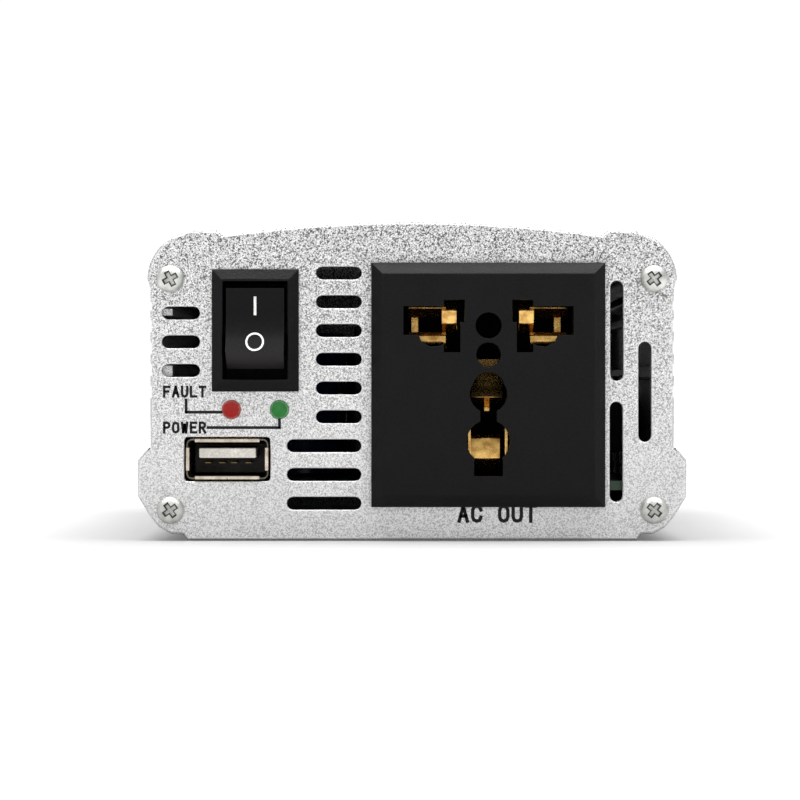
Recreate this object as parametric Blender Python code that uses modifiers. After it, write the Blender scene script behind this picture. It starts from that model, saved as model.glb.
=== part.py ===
"""Power inverter: an extruded aluminium case with two end panels and everything they carry.

Frame: origin at the centre of the flat underside, +Z up, -Y towards the socket panel, +X to the
right when that panel is looked at. Every size below is in millimetres; MM turns it into metres.
"""

import math

import bmesh
import bpy
from mathutils import Matrix, Vector

MM = 0.001
GAP = 0.3
WELD = 0.00001

# Case
CASE_HALF_LENGTH = 73.2
PANEL_THICKNESS = 1.5
PANEL_INNER = CASE_HALF_LENGTH + GAP
PANEL_OUTER = PANEL_INNER + PANEL_THICKNESS
PANEL_INSET = 0.35
FLARE_X = 47.5
WALL_X = 45.3
WALL_INNER_X = 43.3
GROOVE_X = 44.3
RIB_X = 41.4
ARCH_TOP = 55.2
ARCH_HALF_WIDTH = 32.6
ARCH_RISE = 2.3
EAR_TOP = 53.75
CROWN_START = 43.6
ROOF_THICKNESS = 1.7
CORNER_CENTRE = (37.0, 44.9)
CORNER_RADIUS = 8.855
FIN_GROOVES = ((24.7, 26.7), (28.5, 30.5), (32.3, 34.3), (36.1, 38.1), (39.9, 41.3))
INNER_RIBS = ((28.2, 30.4), (38.8, 40.2))
LEDGE_Z = 10.6
SHELF_Z = 8.4
FLOOR_TOP = 1.8
SCREW_X = 41.7
SCREW_LOW_Z = 5.3
SCREW_HIGH_Z = 45.2
CHANNEL_RADIUS = 1.65
CHANNEL_MOUTH = 0.6

# Fasteners
SHANK_RADIUS = 1.35
HEAD_RADIUS = 2.4
HEAD_HEIGHT = 1.5
HEAD_GAP = 0.1

# Ventilation slots in the front panel, as (centre x, centre z, length)
SLOT_WIDTH = 2.2
SLOT_PITCH = 4.96
SHORT_SLOTS = (-12.65, 46.2, 7.9, 6)
LONG_SLOTS = (-15.2, 16.4, 12.85, 3)
SIDE_SLOTS = (-39.9, 39.3, 6.6, 3)
UPRIGHT_SLOTS = ((35.3, 36.25), (35.2, 15.35), (40.15, 25.7))
UPRIGHT_LENGTH = 17.3

# Rocker switch
SWITCH_X = -27.05
SWITCH_Z = 36.3
BEZEL = (15.0, 21.1)
BEZEL_DEPTH = 1.5
SWITCH_BODY = (12.8, 18.8)
SWITCH_WINDOW = (11.2, 16.9)
SWITCH_BACK = -62.0
SWITCH_FLOOR = -64.0
ROCKER_WIDTH = 10.0
ROCKER_TILT = math.radians(12.0)
PIVOT = Vector((SWITCH_X, -71.6, 36.7))
TRUNNION_RADIUS = 1.0
TRUNNION_REACH = 6.1
BLADE_PIVOT = Vector((SWITCH_X, -65.6, 36.7))
BLADE_TILT = math.radians(6.0)

# Indicator lamps
LED_Z = 22.65
LED_RADIUS = 1.5
LED_FLANGE = 0.3
LED_REACH = 0.9
LED_BACK = -68.0
FAULT_LED_X = -31.2
POWER_LED_X = -22.9

# USB outlet
USB_LOW = (-39.0, 10.6)
USB_HIGH = (-24.8, 17.6)
USB_WALL = 0.5
USB_FRONT = -75.6
USB_BACK = -60.0

# Mains socket
SOCKET_X = 13.1
SOCKET_Z = 26.9
SOCKET_FLANGE = (40.3, 42.1)
SOCKET_BODY = (37.4, 39.2)
SOCKET_FRONT = -78.5
SOCKET_WALL_BACK = -74.8
SOCKET_BACK = -56.0
SOCKET_HOLLOW = (33.8, 35.6)
SOCKET_BEVEL = 2.0

# Main board
BOARD_LOW = 8.7
BOARD_TOP = 10.3

# Capacitors, as (x, y, radius, height), and the shape of a can in shares of its radius and height
CANS = {
    "hv_capacitor": (-20.0, -30.0, 8.0, 26.0),
    "input_capacitor_1": (-8.0, 44.0, 6.3, 25.0),
    "input_capacitor_2": (-8.0, 27.0, 6.3, 25.0),
}
CAN_PROFILE = (
    (0.0, 1.0), (0.94, 1.0), (1.0, 0.985), (1.0, 0.13), (0.95, 0.1), (1.0, 0.07), (1.0, 0.0), (0.0, 0.0),
)

# Fan and rear panel
FAN_X = 16.0
FAN_Z = 31.0
FAN_SIZE = 40.0
FAN_PITCH = 16.0
FAN_BACK = 63.2
FAN_FRONT = 73.2
FAN_BORE = 18.6
ROTOR_RADIUS = 18.0
HUB_RADIUS = 9.5
BLADE_COUNT = 7
BLADE_OUTLINE = (
    (HUB_RADIUS, 0.0), (13.5, 6.0), (ROTOR_RADIUS, 16.0),
    (ROTOR_RADIUS, 38.0), (13.5, 27.0), (HUB_RADIUS, 20.0),
)
GRILLE_RINGS = ((4.6, 6.6), (8.6, 10.6), (12.6, 14.6), (16.4, 18.2))
GRILLE_BRIDGE = 1.1

# Battery terminals
POST_Z = 24.0
POST_X = {"positive": -32.0, "negative": -15.0}
STUD_RADIUS = 2.0
BUSH_RADIUS = 5.4
KNOB_RADIUS = 5.6
KNOB_START = 79.8
KNOB_END = 91.8
STUD_END = 88.0
STUD_START = 62.0

COLOURS = {
    "plate": (0.50, 0.50, 0.50, 0.35, 0.9),
    "extrusion": (0.46, 0.46, 0.47, 0.4, 0.9),
    "zinc": (0.62, 0.62, 0.60, 0.3, 1.0),
    "black_plastic": (0.012, 0.012, 0.013, 0.45, 0.0),
    "white_plastic": (0.75, 0.75, 0.72, 0.4, 0.0),
    "red_lens": (0.40, 0.02, 0.015, 0.2, 0.0),
    "green_lens": (0.03, 0.28, 0.06, 0.2, 0.0),
    "nickel": (0.55, 0.52, 0.47, 0.25, 1.0),
    "brass": (0.45, 0.28, 0.09, 0.3, 1.0),
    "board": (0.02, 0.16, 0.06, 0.5, 0.0),
    "ferrite": (0.03, 0.03, 0.035, 0.6, 0.0),
    "winding": (0.60, 0.45, 0.06, 0.5, 0.0),
    "copper": (0.60, 0.22, 0.08, 0.3, 1.0),
    "capacitor": (0.02, 0.03, 0.10, 0.4, 0.0),
    "red_plastic": (0.45, 0.02, 0.015, 0.4, 0.0),
    "orange_plastic": (0.65, 0.22, 0.02, 0.4, 0.0),
}


def remove_scene_objects():
    """Empty the scene."""
    for item in list(bpy.data.objects):
        bpy.data.objects.remove(item)


def make_collection(name):
    """Return a new collection linked to the scene."""
    collection = bpy.data.collections.new(name)
    bpy.context.scene.collection.children.link(collection)
    return collection


def material(key):
    """Return the Principled material named key, made on first use."""
    found = bpy.data.materials.get(key)
    if found:
        return found
    red, green, blue, roughness, metallic = COLOURS[key]
    made = bpy.data.materials.new(key)
    made.use_nodes = True
    shader = made.node_tree.nodes["Principled BSDF"]
    shader.inputs["Base Color"].default_value = (red, green, blue, 1.0)
    shader.inputs["Roughness"].default_value = roughness
    shader.inputs["Metallic"].default_value = metallic
    return made


def place(name, mesh, look, origin=(0.0, 0.0, 0.0), smooth=False):
    """Link a mesh given in case coordinates as an object whose own origin is at origin (mm)."""
    point = Vector(origin) * MM
    mesh.transform(Matrix.Translation(-point))
    if smooth:
        mesh.shade_smooth()
        mesh.set_sharp_from_angle(angle=math.radians(40.0))
    item = bpy.data.objects.new(name, mesh)
    item.location = point
    item.data.materials.clear()
    item.data.materials.append(material(look))
    PARTS.objects.link(item)
    return item


def mesh_from(build):
    """Return a mesh made by build(bm), which works in millimetres."""
    bm = bmesh.new()
    build(bm)
    bmesh.ops.scale(bm, vec=(MM, MM, MM), verts=bm.verts)
    bmesh.ops.recalc_face_normals(bm, faces=bm.faces)
    mesh = bpy.data.meshes.new("shape")
    bm.to_mesh(mesh)
    bm.free()
    return mesh


def box_mesh(low, high, bevel=0.0, segments=1, keep=None):
    """Return a box between two corners; keep(edge) picks the edges that are bevelled."""

    def build(bm):
        bmesh.ops.create_cube(bm, size=1.0)
        size = [b - a for a, b in zip(low, high)]
        centre = [(a + b) / 2.0 for a, b in zip(low, high)]
        bmesh.ops.scale(bm, vec=size, verts=bm.verts)
        bmesh.ops.translate(bm, vec=centre, verts=bm.verts)
        if bevel:
            edges = [e for e in bm.edges if keep is None or keep(e)]
            bmesh.ops.bevel(bm, geom=edges, offset=bevel, segments=segments, affect="EDGES", profile=0.5)

    return mesh_from(build)


def cylinder_mesh(centre, radius, span, axis, segments=24, radius_end=None):
    """Return a cylinder or cone along a world axis from span[0] to span[1]."""
    turn = {"X": Matrix.Rotation(math.radians(90.0), 4, "Y"), "Z": Matrix.Identity(4)}
    turn["Y"] = Matrix.Rotation(math.radians(-90.0), 4, "X")
    length = span[1] - span[0]
    middle = (span[0] + span[1]) / 2.0
    place_at = {
        "X": (middle, centre[0], centre[1]),
        "Y": (centre[0], middle, centre[1]),
        "Z": (centre[0], centre[1], middle),
    }[axis]
    top = radius if radius_end is None else radius_end

    def build(bm):
        bmesh.ops.create_cone(
            bm, cap_ends=True, segments=segments, radius1=radius, radius2=top, depth=length,
            matrix=Matrix.Translation(place_at) @ turn[axis],
        )

    return mesh_from(build)


def outline_mesh(contours, span, plane):
    """Return a flat outline with holes, extruded along the axis that its plane leaves out.

    plane XZ runs along Y, XY along Z and YZ along X; contours hold points in that plane.
    """
    curve = bpy.data.curves.new("outline", "CURVE")
    curve.dimensions = "2D"
    curve.fill_mode = "BOTH"
    curve.extrude = (span[1] - span[0]) / 2.0 * MM
    curve.resolution_u = 1
    curve.render_resolution_u = 0
    for contour in contours:
        spline = curve.splines.new("POLY")
        spline.points.add(len(contour) - 1)
        for point, (u, v) in zip(spline.points, contour):
            point.co = (u * MM, v * MM, 0.0, 1.0)
        spline.use_cyclic_u = True
    mesh = mesh_of_curve(curve)
    middle = (span[0] + span[1]) / 2.0 * MM
    if plane == "XZ":
        mesh.transform(Matrix.Translation((0.0, middle, 0.0)) @ Matrix.Rotation(math.radians(90.0), 4, "X"))
    elif plane == "YZ":
        cyclic = Matrix(((0, 0, 1, 0), (1, 0, 0, 0), (0, 1, 0, 0), (0, 0, 0, 1)))
        mesh.transform(Matrix.Translation((middle, 0.0, 0.0)) @ cyclic)
    else:
        mesh.transform(Matrix.Translation((0.0, 0.0, middle)))
    return mesh


def mesh_of_curve(curve):
    """Return the welded mesh of a curve and remove the curve."""
    holder = bpy.data.objects.new("curve", curve)
    bpy.context.scene.collection.objects.link(holder)
    bpy.context.view_layer.update()
    graph = bpy.context.evaluated_depsgraph_get()
    mesh = bpy.data.meshes.new_from_object(holder.evaluated_get(graph))
    bpy.data.objects.remove(holder)
    bm = bmesh.new()
    bm.from_mesh(mesh)
    bmesh.ops.remove_doubles(bm, verts=bm.verts, dist=WELD)
    bmesh.ops.recalc_face_normals(bm, faces=bm.faces)
    bm.to_mesh(mesh)
    bm.free()
    return mesh


def turned_mesh(profile, centre, axis="Y", segments=20):
    """Return a shape turned about an axis; profile holds (radius, place along the axis), top first."""
    mesh = bpy.data.meshes.new("profile")
    places = [(radius * MM, 0.0, height * MM) for radius, height in profile]
    edges = [(i, i + 1) for i in range(len(profile) - 1)]
    mesh.from_pydata(places, edges, [])
    holder = bpy.data.objects.new("turned", mesh)
    bpy.context.scene.collection.objects.link(holder)
    screw = holder.modifiers.new("turn", "SCREW")
    screw.steps = segments
    screw.render_steps = segments
    screw.use_merge_vertices = True
    screw.merge_threshold = WELD
    screw.use_smooth_shade = False
    bpy.context.view_layer.update()
    graph = bpy.context.evaluated_depsgraph_get()
    result = bpy.data.meshes.new_from_object(holder.evaluated_get(graph))
    bpy.data.objects.remove(holder)
    bm = bmesh.new()
    bm.from_mesh(result)
    bmesh.ops.remove_doubles(bm, verts=bm.verts, dist=WELD)
    bmesh.ops.recalc_face_normals(bm, faces=bm.faces)
    bm.to_mesh(result)
    bm.free()
    if axis == "Y":
        result.transform(Matrix.Rotation(math.radians(-90.0), 4, "X"))
        result.transform(Matrix.Translation((centre[0] * MM, 0.0, centre[1] * MM)))
    else:
        result.transform(Matrix.Translation((centre[0] * MM, centre[1] * MM, 0.0)))
    return result


def wire_mesh(points, radius):
    """Return a round wire along points."""
    curve = bpy.data.curves.new("wire", "CURVE")
    curve.dimensions = "3D"
    curve.bevel_depth = radius * MM
    curve.bevel_resolution = 2
    curve.use_fill_caps = True
    curve.resolution_u = 1
    curve.render_resolution_u = 0
    spline = curve.splines.new("POLY")
    spline.points.add(len(points) - 1)
    for point, place_at in zip(spline.points, points):
        point.co = (place_at[0] * MM, place_at[1] * MM, place_at[2] * MM, 1.0)
    return mesh_of_curve(curve)


def tool(mesh):
    """Return a mesh as a hidden tool object for a Boolean."""
    item = bpy.data.objects.new("tool", mesh)
    item.hide_render = True
    item.display_type = "WIRE"
    CUTTERS.objects.link(item)
    return item


def combine(item, mesh, operation):
    """Add a Boolean of item with mesh, given in case coordinates."""
    modifier = item.modifiers.new(operation.lower(), "BOOLEAN")
    modifier.operation = operation
    modifier.solver = "EXACT"
    modifier.object = tool(mesh)


def arc(centre, radius, start, end, steps):
    """Return points on an arc, angles in degrees, both ends included."""
    turn = [math.radians(start + (end - start) * i / steps) for i in range(steps + 1)]
    return [(centre[0] + radius * math.cos(a), centre[1] + radius * math.sin(a)) for a in turn]


def circle(centre, radius, steps=16):
    """Return a closed ring of points."""
    return arc(centre, radius, 0.0, 360.0 - 360.0 / steps, steps - 1)


def rectangle(centre, size, corner=0.0):
    """Return a rectangle, with round corners when corner is set."""
    half_u, half_v = size[0] / 2.0, size[1] / 2.0
    if not corner:
        return [
            (centre[0] + su * half_u, centre[1] + sv * half_v)
            for su, sv in ((-1, -1), (1, -1), (1, 1), (-1, 1))
        ]
    points = []
    for quadrant, (su, sv) in enumerate(((1, 1), (-1, 1), (-1, -1), (1, -1))):
        middle = (centre[0] + su * (half_u - corner), centre[1] + sv * (half_v - corner))
        points += arc(middle, corner, 90.0 * quadrant, 90.0 * quadrant + 90.0, 4)
    return points


def stadium(centre, length, width, upright=False):
    """Return a slot with round ends."""
    reach = (length - width) / 2.0
    if upright:
        return arc((centre[0], centre[1] + reach), width / 2.0, 0.0, 180.0, 6) + arc(
            (centre[0], centre[1] - reach), width / 2.0, 180.0, 360.0, 6
        )
    return arc((centre[0] + reach, centre[1]), width / 2.0, -90.0, 90.0, 6) + arc(
        (centre[0] - reach, centre[1]), width / 2.0, 90.0, 270.0, 6
    )


def mirrored(half):
    """Return a closed outline from its right half, given from its bottom round to its top."""
    return half + [(-x, z) for x, z in reversed(half) if x > 0.0]


def inset(points, distance):
    """Return a closed counter-clockwise outline moved inwards by distance."""
    moved = []
    count = len(points)
    for i in range(count):
        before, here, after = (Vector(points[(i + k) % count]) for k in (-1, 0, 1))
        entry = (here - before).normalized()
        leave = (after - here).normalized()
        normal = Vector((-entry.y - leave.y, entry.x + leave.x)).normalized()
        spread = max(0.5, normal.dot(Vector((-entry.y, entry.x))))
        moved.append(tuple(here + normal * (distance / spread)))
    return moved


def base_side():
    """Return the flared lower edge of the case, from its middle out to the lip (right half)."""
    return [
        (38.9, 0.0), (39.6, 1.05), (41.7, 1.15), (43.8, 2.3), (45.2, 4.0),
        (FLARE_X - 0.3, 7.1), (FLARE_X, 7.7), (FLARE_X, 13.9),
    ]


def arch_height(x, depth=0.0):
    """Return the roof's height at x, or that of a line at a depth below it."""
    return ARCH_TOP - depth - ARCH_RISE * (x / ARCH_HALF_WIDTH) ** 2


def crown_side():
    """Return the upper corner, ear and arched roof, from the wall to the middle (right half)."""
    corner = arc(CORNER_CENTRE, CORNER_RADIUS, 3.0, 84.0, 10)
    ear = [(33.8, EAR_TOP), (ARCH_HALF_WIDTH, ARCH_TOP - ARCH_RISE)]
    steps = 8
    places = [ARCH_HALF_WIDTH * (1.0 - i / steps) for i in range(1, steps + 1)]
    arch = [(x, arch_height(x)) for x in places]
    return [(WALL_X, CROWN_START)] + corner + ear + arch


def case_outline():
    """Return the closed outline that both panels share, before their inset."""
    return mirrored([(0.0, 0.0)] + base_side() + [(WALL_X, 16.3)] + crown_side())


def channel(centre, mouth_angle):
    """Return the round bore of a screw channel, from one side of its mouth to the other."""
    half = math.degrees(math.asin(CHANNEL_MOUTH / CHANNEL_RADIUS))
    return arc(centre, CHANNEL_RADIUS, mouth_angle - half, mouth_angle + half - 360.0, 16)


def make_upper_housing():
    """The roof and side walls: one extrusion with fins, ribs and two screw channels."""
    wall = [(WALL_X, LEDGE_Z + GAP), (WALL_X, FIN_GROOVES[0][0])]
    for low, high in FIN_GROOVES:
        wall += [(WALL_X, low), (GROOVE_X, low + 0.3), (GROOVE_X, high - 0.3), (WALL_X, high)]
    outer = [wall[0]] + wall[2:] + crown_side()
    arch_inner = [(x, arch_height(x, ROOF_THICKNESS)) for x in (0.0, 8.0, 16.0, 24.0, 32.2)]
    boss_radius = 3.4
    mouth = 225.0
    half = math.degrees(math.asin(CHANNEL_MOUTH / boss_radius))
    centre = (SCREW_X, SCREW_HIGH_Z)
    boss = (
        arc(centre, boss_radius, 115.0, mouth - half, 5)
        + channel(centre, mouth)
        + arc(centre, boss_radius, mouth + half, 298.0, 4)
    )
    ribs = []
    for low, high in reversed(INNER_RIBS):
        ribs += [(WALL_INNER_X, high), (RIB_X, high), (RIB_X, low), (WALL_INNER_X, low)]
    inner = arch_inner + [(33.4, EAR_TOP - ROOF_THICKNESS), (37.2, EAR_TOP - ROOF_THICKNESS), (40.1, 51.0)] + boss
    inner += [(WALL_INNER_X, 41.9)] + ribs + [(WALL_INNER_X, LEDGE_Z + GAP)]
    left_outer = [(-x, z) for x, z in reversed(outer) if x > 0.0]
    left_inner = [(-x, z) for x, z in reversed(inner) if x > 0.0]
    # The ring goes up the right side and down the left outside, then back along the inside.
    ring = outer + left_outer + left_inner + inner
    mesh = outline_mesh([ring], (-CASE_HALF_LENGTH, CASE_HALF_LENGTH), "XZ")
    place("upper_housing", mesh, "extrusion")


def make_lower_housing():
    """The flared tray that carries the board and the two lower screw channels."""
    outer = [(0.0, 0.0)] + base_side() + [(WALL_X + GAP, 16.1)]
    inner = [(WALL_X + GAP, LEDGE_Z), (43.4, LEDGE_Z), (43.4, SHELF_Z), (39.2, SHELF_Z), (38.4, 7.6)]
    inner += [(38.4, SCREW_LOW_Z + CHANNEL_MOUTH)] + channel((SCREW_X, SCREW_LOW_Z), 180.0)
    inner += [(38.4, SCREW_LOW_Z - CHANNEL_MOUTH), (38.4, 3.4), (36.8, FLOOR_TOP), (0.0, FLOOR_TOP)]
    half = outer[1:] + inner[:-1]
    ring = half + [(-x, z) for x, z in reversed(half)]
    mesh = outline_mesh([ring], (-CASE_HALF_LENGTH, CASE_HALF_LENGTH), "XZ")
    place("lower_housing", mesh, "extrusion")


def screw_places():
    """Return the four corner screw positions, left to right and top first."""
    return [(sx * SCREW_X, z) for z in (SCREW_HIGH_Z, SCREW_LOW_Z) for sx in (-1, 1)]


def socket_apertures():
    """Return the socket's openings: two pin entries, two round holes and the earth entry."""
    bulge = [(12.0, 35.5), (11.5, 34.3), (10.0, 33.5), (8.6, 33.6), (7.65, 33.9)]
    entry = [(4.1, 37.7), (4.1, 41.5), (7.65, 41.5), (7.65, 40.4), (14.6, 40.4), (14.6, 35.5)]
    entry += bulge + [(7.65, 32.5), (4.85, 32.5), (4.85, 37.7)]
    upper_earth = arc((0.0, 25.3), 3.2, -64.0, 22.0, 6) + arc((0.0, 26.35), 2.75, 12.0, 90.0, 5)
    lower_earth = [(2.45, 11.2)] + arc((0.0, 17.15), 3.75, -49.2, 68.0, 8)
    right = lower_earth + upper_earth
    earth = right + [(-x, z) for x, z in reversed(right) if x > 0.01]
    shapes = [entry, [(-x, z) for x, z in entry], circle((0.0, 37.1), 2.25), circle((0.0, 32.1), 2.12), earth]
    return [[(SOCKET_X + x, z) for x, z in shape] for shape in shapes]


def make_front_panel():
    """The socket-side end plate with its slots and cut-outs."""
    contours = [inset(case_outline(), PANEL_INSET)]
    for x, z, length, count in (SHORT_SLOTS, LONG_SLOTS, SIDE_SLOTS):
        contours += [stadium((x, z - i * SLOT_PITCH), length, SLOT_WIDTH) for i in range(count)]
    contours += [stadium(centre, UPRIGHT_LENGTH, SLOT_WIDTH, upright=True) for centre in UPRIGHT_SLOTS]
    contours += [circle(centre, CHANNEL_RADIUS, 12) for centre in screw_places()]
    contours += [circle((x, LED_Z), LED_RADIUS + GAP, 16) for x in (FAULT_LED_X, POWER_LED_X)]
    cut = 2.0 * GAP
    contours.append(rectangle((SWITCH_X, SWITCH_Z), (SWITCH_BODY[0] + cut, SWITCH_BODY[1] + cut)))
    contours.append(rectangle((SOCKET_X, SOCKET_Z), (SOCKET_BODY[0] + cut, SOCKET_BODY[1] + cut)))
    centre = ((USB_LOW[0] + USB_HIGH[0]) / 2.0, (USB_LOW[1] + USB_HIGH[1]) / 2.0)
    size = (USB_HIGH[0] - USB_LOW[0] + cut, USB_HIGH[1] - USB_LOW[1] + cut)
    contours.append(rectangle(centre, size, 0.6))
    place("front_panel", outline_mesh(contours, (-PANEL_OUTER, -PANEL_INNER), "XZ"), "plate")


def ring_slot(centre, inner, outer, start, end, steps=5):
    """Return one curved slot of a fan grille."""
    return arc(centre, outer, start, end, steps) + arc(centre, inner, end, start, steps)


def make_rear_panel():
    """The battery-side end plate with the fan grille and the terminal holes."""
    contours = [inset(case_outline(), PANEL_INSET)]
    contours += [circle(centre, CHANNEL_RADIUS, 12) for centre in screw_places()]
    for inner, outer in GRILLE_RINGS:
        bridge = math.degrees(GRILLE_BRIDGE / inner)
        for quarter in range(4):
            start = 45.0 + 90.0 * quarter
            contours.append(ring_slot((FAN_X, FAN_Z), inner, outer, start + bridge, start + 90.0 - bridge))
    contours += [circle(centre, CHANNEL_RADIUS, 12) for centre in fan_screw_places()]
    contours += [circle((x, POST_Z), STUD_RADIUS + 1.3, 16) for x in POST_X.values()]
    place("rear_panel", outline_mesh(contours, (PANEL_INNER, PANEL_OUTER), "XZ"), "plate")


def fan_screw_places():
    """Return the fan's four mounting positions."""
    return [(FAN_X + sx * FAN_PITCH, FAN_Z + sz * FAN_PITCH) for sx in (-1, 1) for sz in (1, -1)]


def screw_mesh(centre, face, outward, length):
    """Return a pan-head screw whose head sits on the plane y = face and points outward (+1 or -1)."""
    dome = [
        (0.0, HEAD_HEIGHT), (0.9, HEAD_HEIGHT - 0.05), (1.7, HEAD_HEIGHT - 0.3), (2.2, HEAD_HEIGHT - 0.75),
        (HEAD_RADIUS, 0.35), (HEAD_RADIUS, 0.0), (SHANK_RADIUS, 0.0), (SHANK_RADIUS, 0.6 - length),
        (0.7, -length), (0.0, -length),
    ]
    mesh = turned_mesh(dome, (0.0, 0.0), "Y", 14)
    turn = Matrix.Identity(4) if outward > 0 else Matrix.Rotation(math.radians(180.0), 4, "Z")
    place_at = Matrix.Translation((centre[0] * MM, (face + outward * HEAD_GAP) * MM, centre[1] * MM))
    mesh.transform(place_at @ turn)
    return mesh


def make_screws():
    """Corner screws of both panels and the fan's four screws."""
    for number, centre in enumerate(screw_places(), 1):
        place(f"front_screw_{number}", screw_mesh(centre, -PANEL_OUTER, -1, 9.0), "zinc", smooth=True)
        place(f"rear_screw_{number}", screw_mesh(centre, PANEL_OUTER, 1, 9.0), "zinc", smooth=True)
    for number, centre in enumerate(fan_screw_places(), 1):
        place(f"fan_screw_{number}", screw_mesh(centre, PANEL_OUTER, 1, 11.0), "zinc", smooth=True)


def make_switch():
    """The rocker switch: bezel and body, rocker, plunger with its spring, blade and two terminals."""
    bezel_front = -PANEL_OUTER - GAP - BEZEL_DEPTH
    low = (SWITCH_X - BEZEL[0] / 2, bezel_front, SWITCH_Z - BEZEL[1] / 2)
    high = (SWITCH_X + BEZEL[0] / 2, -PANEL_OUTER - GAP, SWITCH_Z + BEZEL[1] / 2)
    bezel = box_mesh(low, high, 1.2, 1, lambda e: all(v.co.y < (bezel_front + 0.01) for v in e.verts))
    housing = place("switch_housing", bezel, "black_plastic", origin=(SWITCH_X, -PANEL_OUTER, SWITCH_Z))
    low = (SWITCH_X - SWITCH_BODY[0] / 2, -PANEL_OUTER - GAP - 0.5, SWITCH_Z - SWITCH_BODY[1] / 2)
    high = (SWITCH_X + SWITCH_BODY[0] / 2, SWITCH_BACK, SWITCH_Z + SWITCH_BODY[1] / 2)
    combine(housing, box_mesh(low, high), "UNION")
    low = (SWITCH_X - SWITCH_WINDOW[0] / 2, bezel_front - 2.0, SWITCH_Z - SWITCH_WINDOW[1] / 2)
    high = (SWITCH_X + SWITCH_WINDOW[0] / 2, SWITCH_FLOOR, SWITCH_Z + SWITCH_WINDOW[1] / 2)
    combine(housing, box_mesh(low, high), "DIFFERENCE")
    bore = TRUNNION_RADIUS + GAP
    span = (SWITCH_X - BEZEL[0], SWITCH_X + BEZEL[0])
    combine(housing, cylinder_mesh((PIVOT.y, PIVOT.z), bore, span, "X", 16), "DIFFERENCE")
    terminals = {"switch_terminal_common": (PIVOT.z, -65.0), "switch_terminal_load": (PIVOT.z - 4.4, -64.5)}
    for name, (z, front) in terminals.items():
        low = (SWITCH_X - 2.7, SWITCH_FLOOR - 1.0, z - 0.7)
        high = (SWITCH_X + 2.7, SWITCH_BACK + 1.0, z + 0.7)
        combine(housing, box_mesh(low, high), "DIFFERENCE")
        place(name, box_mesh((SWITCH_X - 2.4, front, z - 0.4), (SWITCH_X + 2.4, -56.0, z + 0.4)), "brass")
    make_rocker()
    blade = box_mesh((-1.5, -0.25, -4.2), (1.5, 0.25, 4.2))
    blade.transform(Matrix.Translation(BLADE_PIVOT * MM) @ Matrix.Rotation(BLADE_TILT, 4, "X"))
    place("switch_contact_blade", blade, "copper", origin=BLADE_PIVOT)


def make_rocker():
    """The rocker with its trunnions, and the sprung plunger that it carries in a bore."""
    lip, end = (5.6, 6.5), (7.35, 0.8)
    apex = 4.46
    right = [(2.4, -3.2), (2.4, -1.6), (6.3, -1.6), end, lip]
    profile = right + [(0.0, apex)] + [(-z, depth) for z, depth in reversed(right)]
    # Local (z, depth towards the user) becomes case (y, z) about the pivot.
    section = [(-depth, z) for z, depth in profile]
    tilt = Matrix.Translation(PIVOT * MM) @ Matrix.Rotation(-ROCKER_TILT, 4, "X")
    body = outline_mesh([section], (-ROCKER_WIDTH / 2.0, ROCKER_WIDTH / 2.0), "YZ")
    body.transform(tilt)
    rocker = place("switch_rocker", body, "black_plastic", origin=PIVOT)
    ends = (SWITCH_X - TRUNNION_REACH, SWITCH_X + TRUNNION_REACH)
    trunnion = cylinder_mesh((PIVOT.y, PIVOT.z), TRUNNION_RADIUS, ends, "X", 16)
    combine(rocker, trunnion, "UNION")
    bore = cylinder_mesh((0.0, 0.0), 1.5, (-2.0, 6.0), "Y", 16)
    bore.transform(tilt)
    combine(rocker, bore, "DIFFERENCE")
    pin = [(0.0, 5.35), (0.7, 5.2), (1.15, 4.6), (1.15, 1.2), (0.0, 1.2)]
    plunger = turned_mesh(pin, (0.0, 0.0), "Y", 14)
    plunger.transform(tilt)
    place("switch_plunger", plunger, "white_plastic", origin=PIVOT, smooth=True)
    turns, steps = 3.0, 10
    count = int(turns * steps)
    coil = [
        (
            0.85 * math.cos(2.0 * math.pi * i / steps),
            -1.6 + 2.4 * i / count,
            0.85 * math.sin(2.0 * math.pi * i / steps),
        )
        for i in range(count + 1)
    ]
    spring = wire_mesh(coil, 0.18)
    spring.transform(tilt)
    place("switch_spring", spring, "zinc", origin=PIVOT, smooth=True)


def make_lamps():
    """The two indicator lamps, domed at the front."""
    for name, x, look in (("fault_led", FAULT_LED_X, "red_lens"), ("power_led", POWER_LED_X, "green_lens")):
        profile = [
            (0.0, LED_BACK),
            (LED_RADIUS + LED_FLANGE, LED_BACK),
            (LED_RADIUS + LED_FLANGE, LED_BACK - 1.0),
            (LED_RADIUS, LED_BACK - 1.0),
        ]
        tip = -PANEL_OUTER - LED_REACH
        for degrees in (90, 72, 54, 36, 18):
            angle = math.radians(degrees)
            profile.append((LED_RADIUS * math.sin(angle), tip + LED_RADIUS * (1.0 - math.cos(angle))))
        profile.append((0.0, tip))
        place(name, turned_mesh(profile, (x, LED_Z), "Y", 16), look, smooth=True)


def make_usb_outlet():
    """The nickel shell and the plastic tongue inside it."""
    low, high = USB_LOW, USB_HIGH
    centre = ((low[0] + high[0]) / 2.0, (low[1] + high[1]) / 2.0)
    size = (high[0] - low[0], high[1] - low[1])
    inner = (size[0] - 2 * USB_WALL, size[1] - 2 * USB_WALL)
    walls = [rectangle(centre, size, 0.5), rectangle(centre, inner)]
    place("usb_shell", outline_mesh(walls, (USB_FRONT, USB_BACK), "XZ"), "nickel")
    half_u, half_v = inner[0] / 2.0 - GAP, inner[1] / 2.0 - GAP
    block_low = (centre[0] - half_u, -62.5, centre[1] - half_v)
    block_high = (centre[0] + half_u, USB_BACK - 0.3, centre[1] + half_v)
    tongue = place("usb_tongue", box_mesh(block_low, block_high), "white_plastic")
    combine(tongue, box_mesh((centre[0] - 4.9, -74.4, 14.3), (centre[0] + 4.9, -62.0, 16.0)), "UNION")


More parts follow.
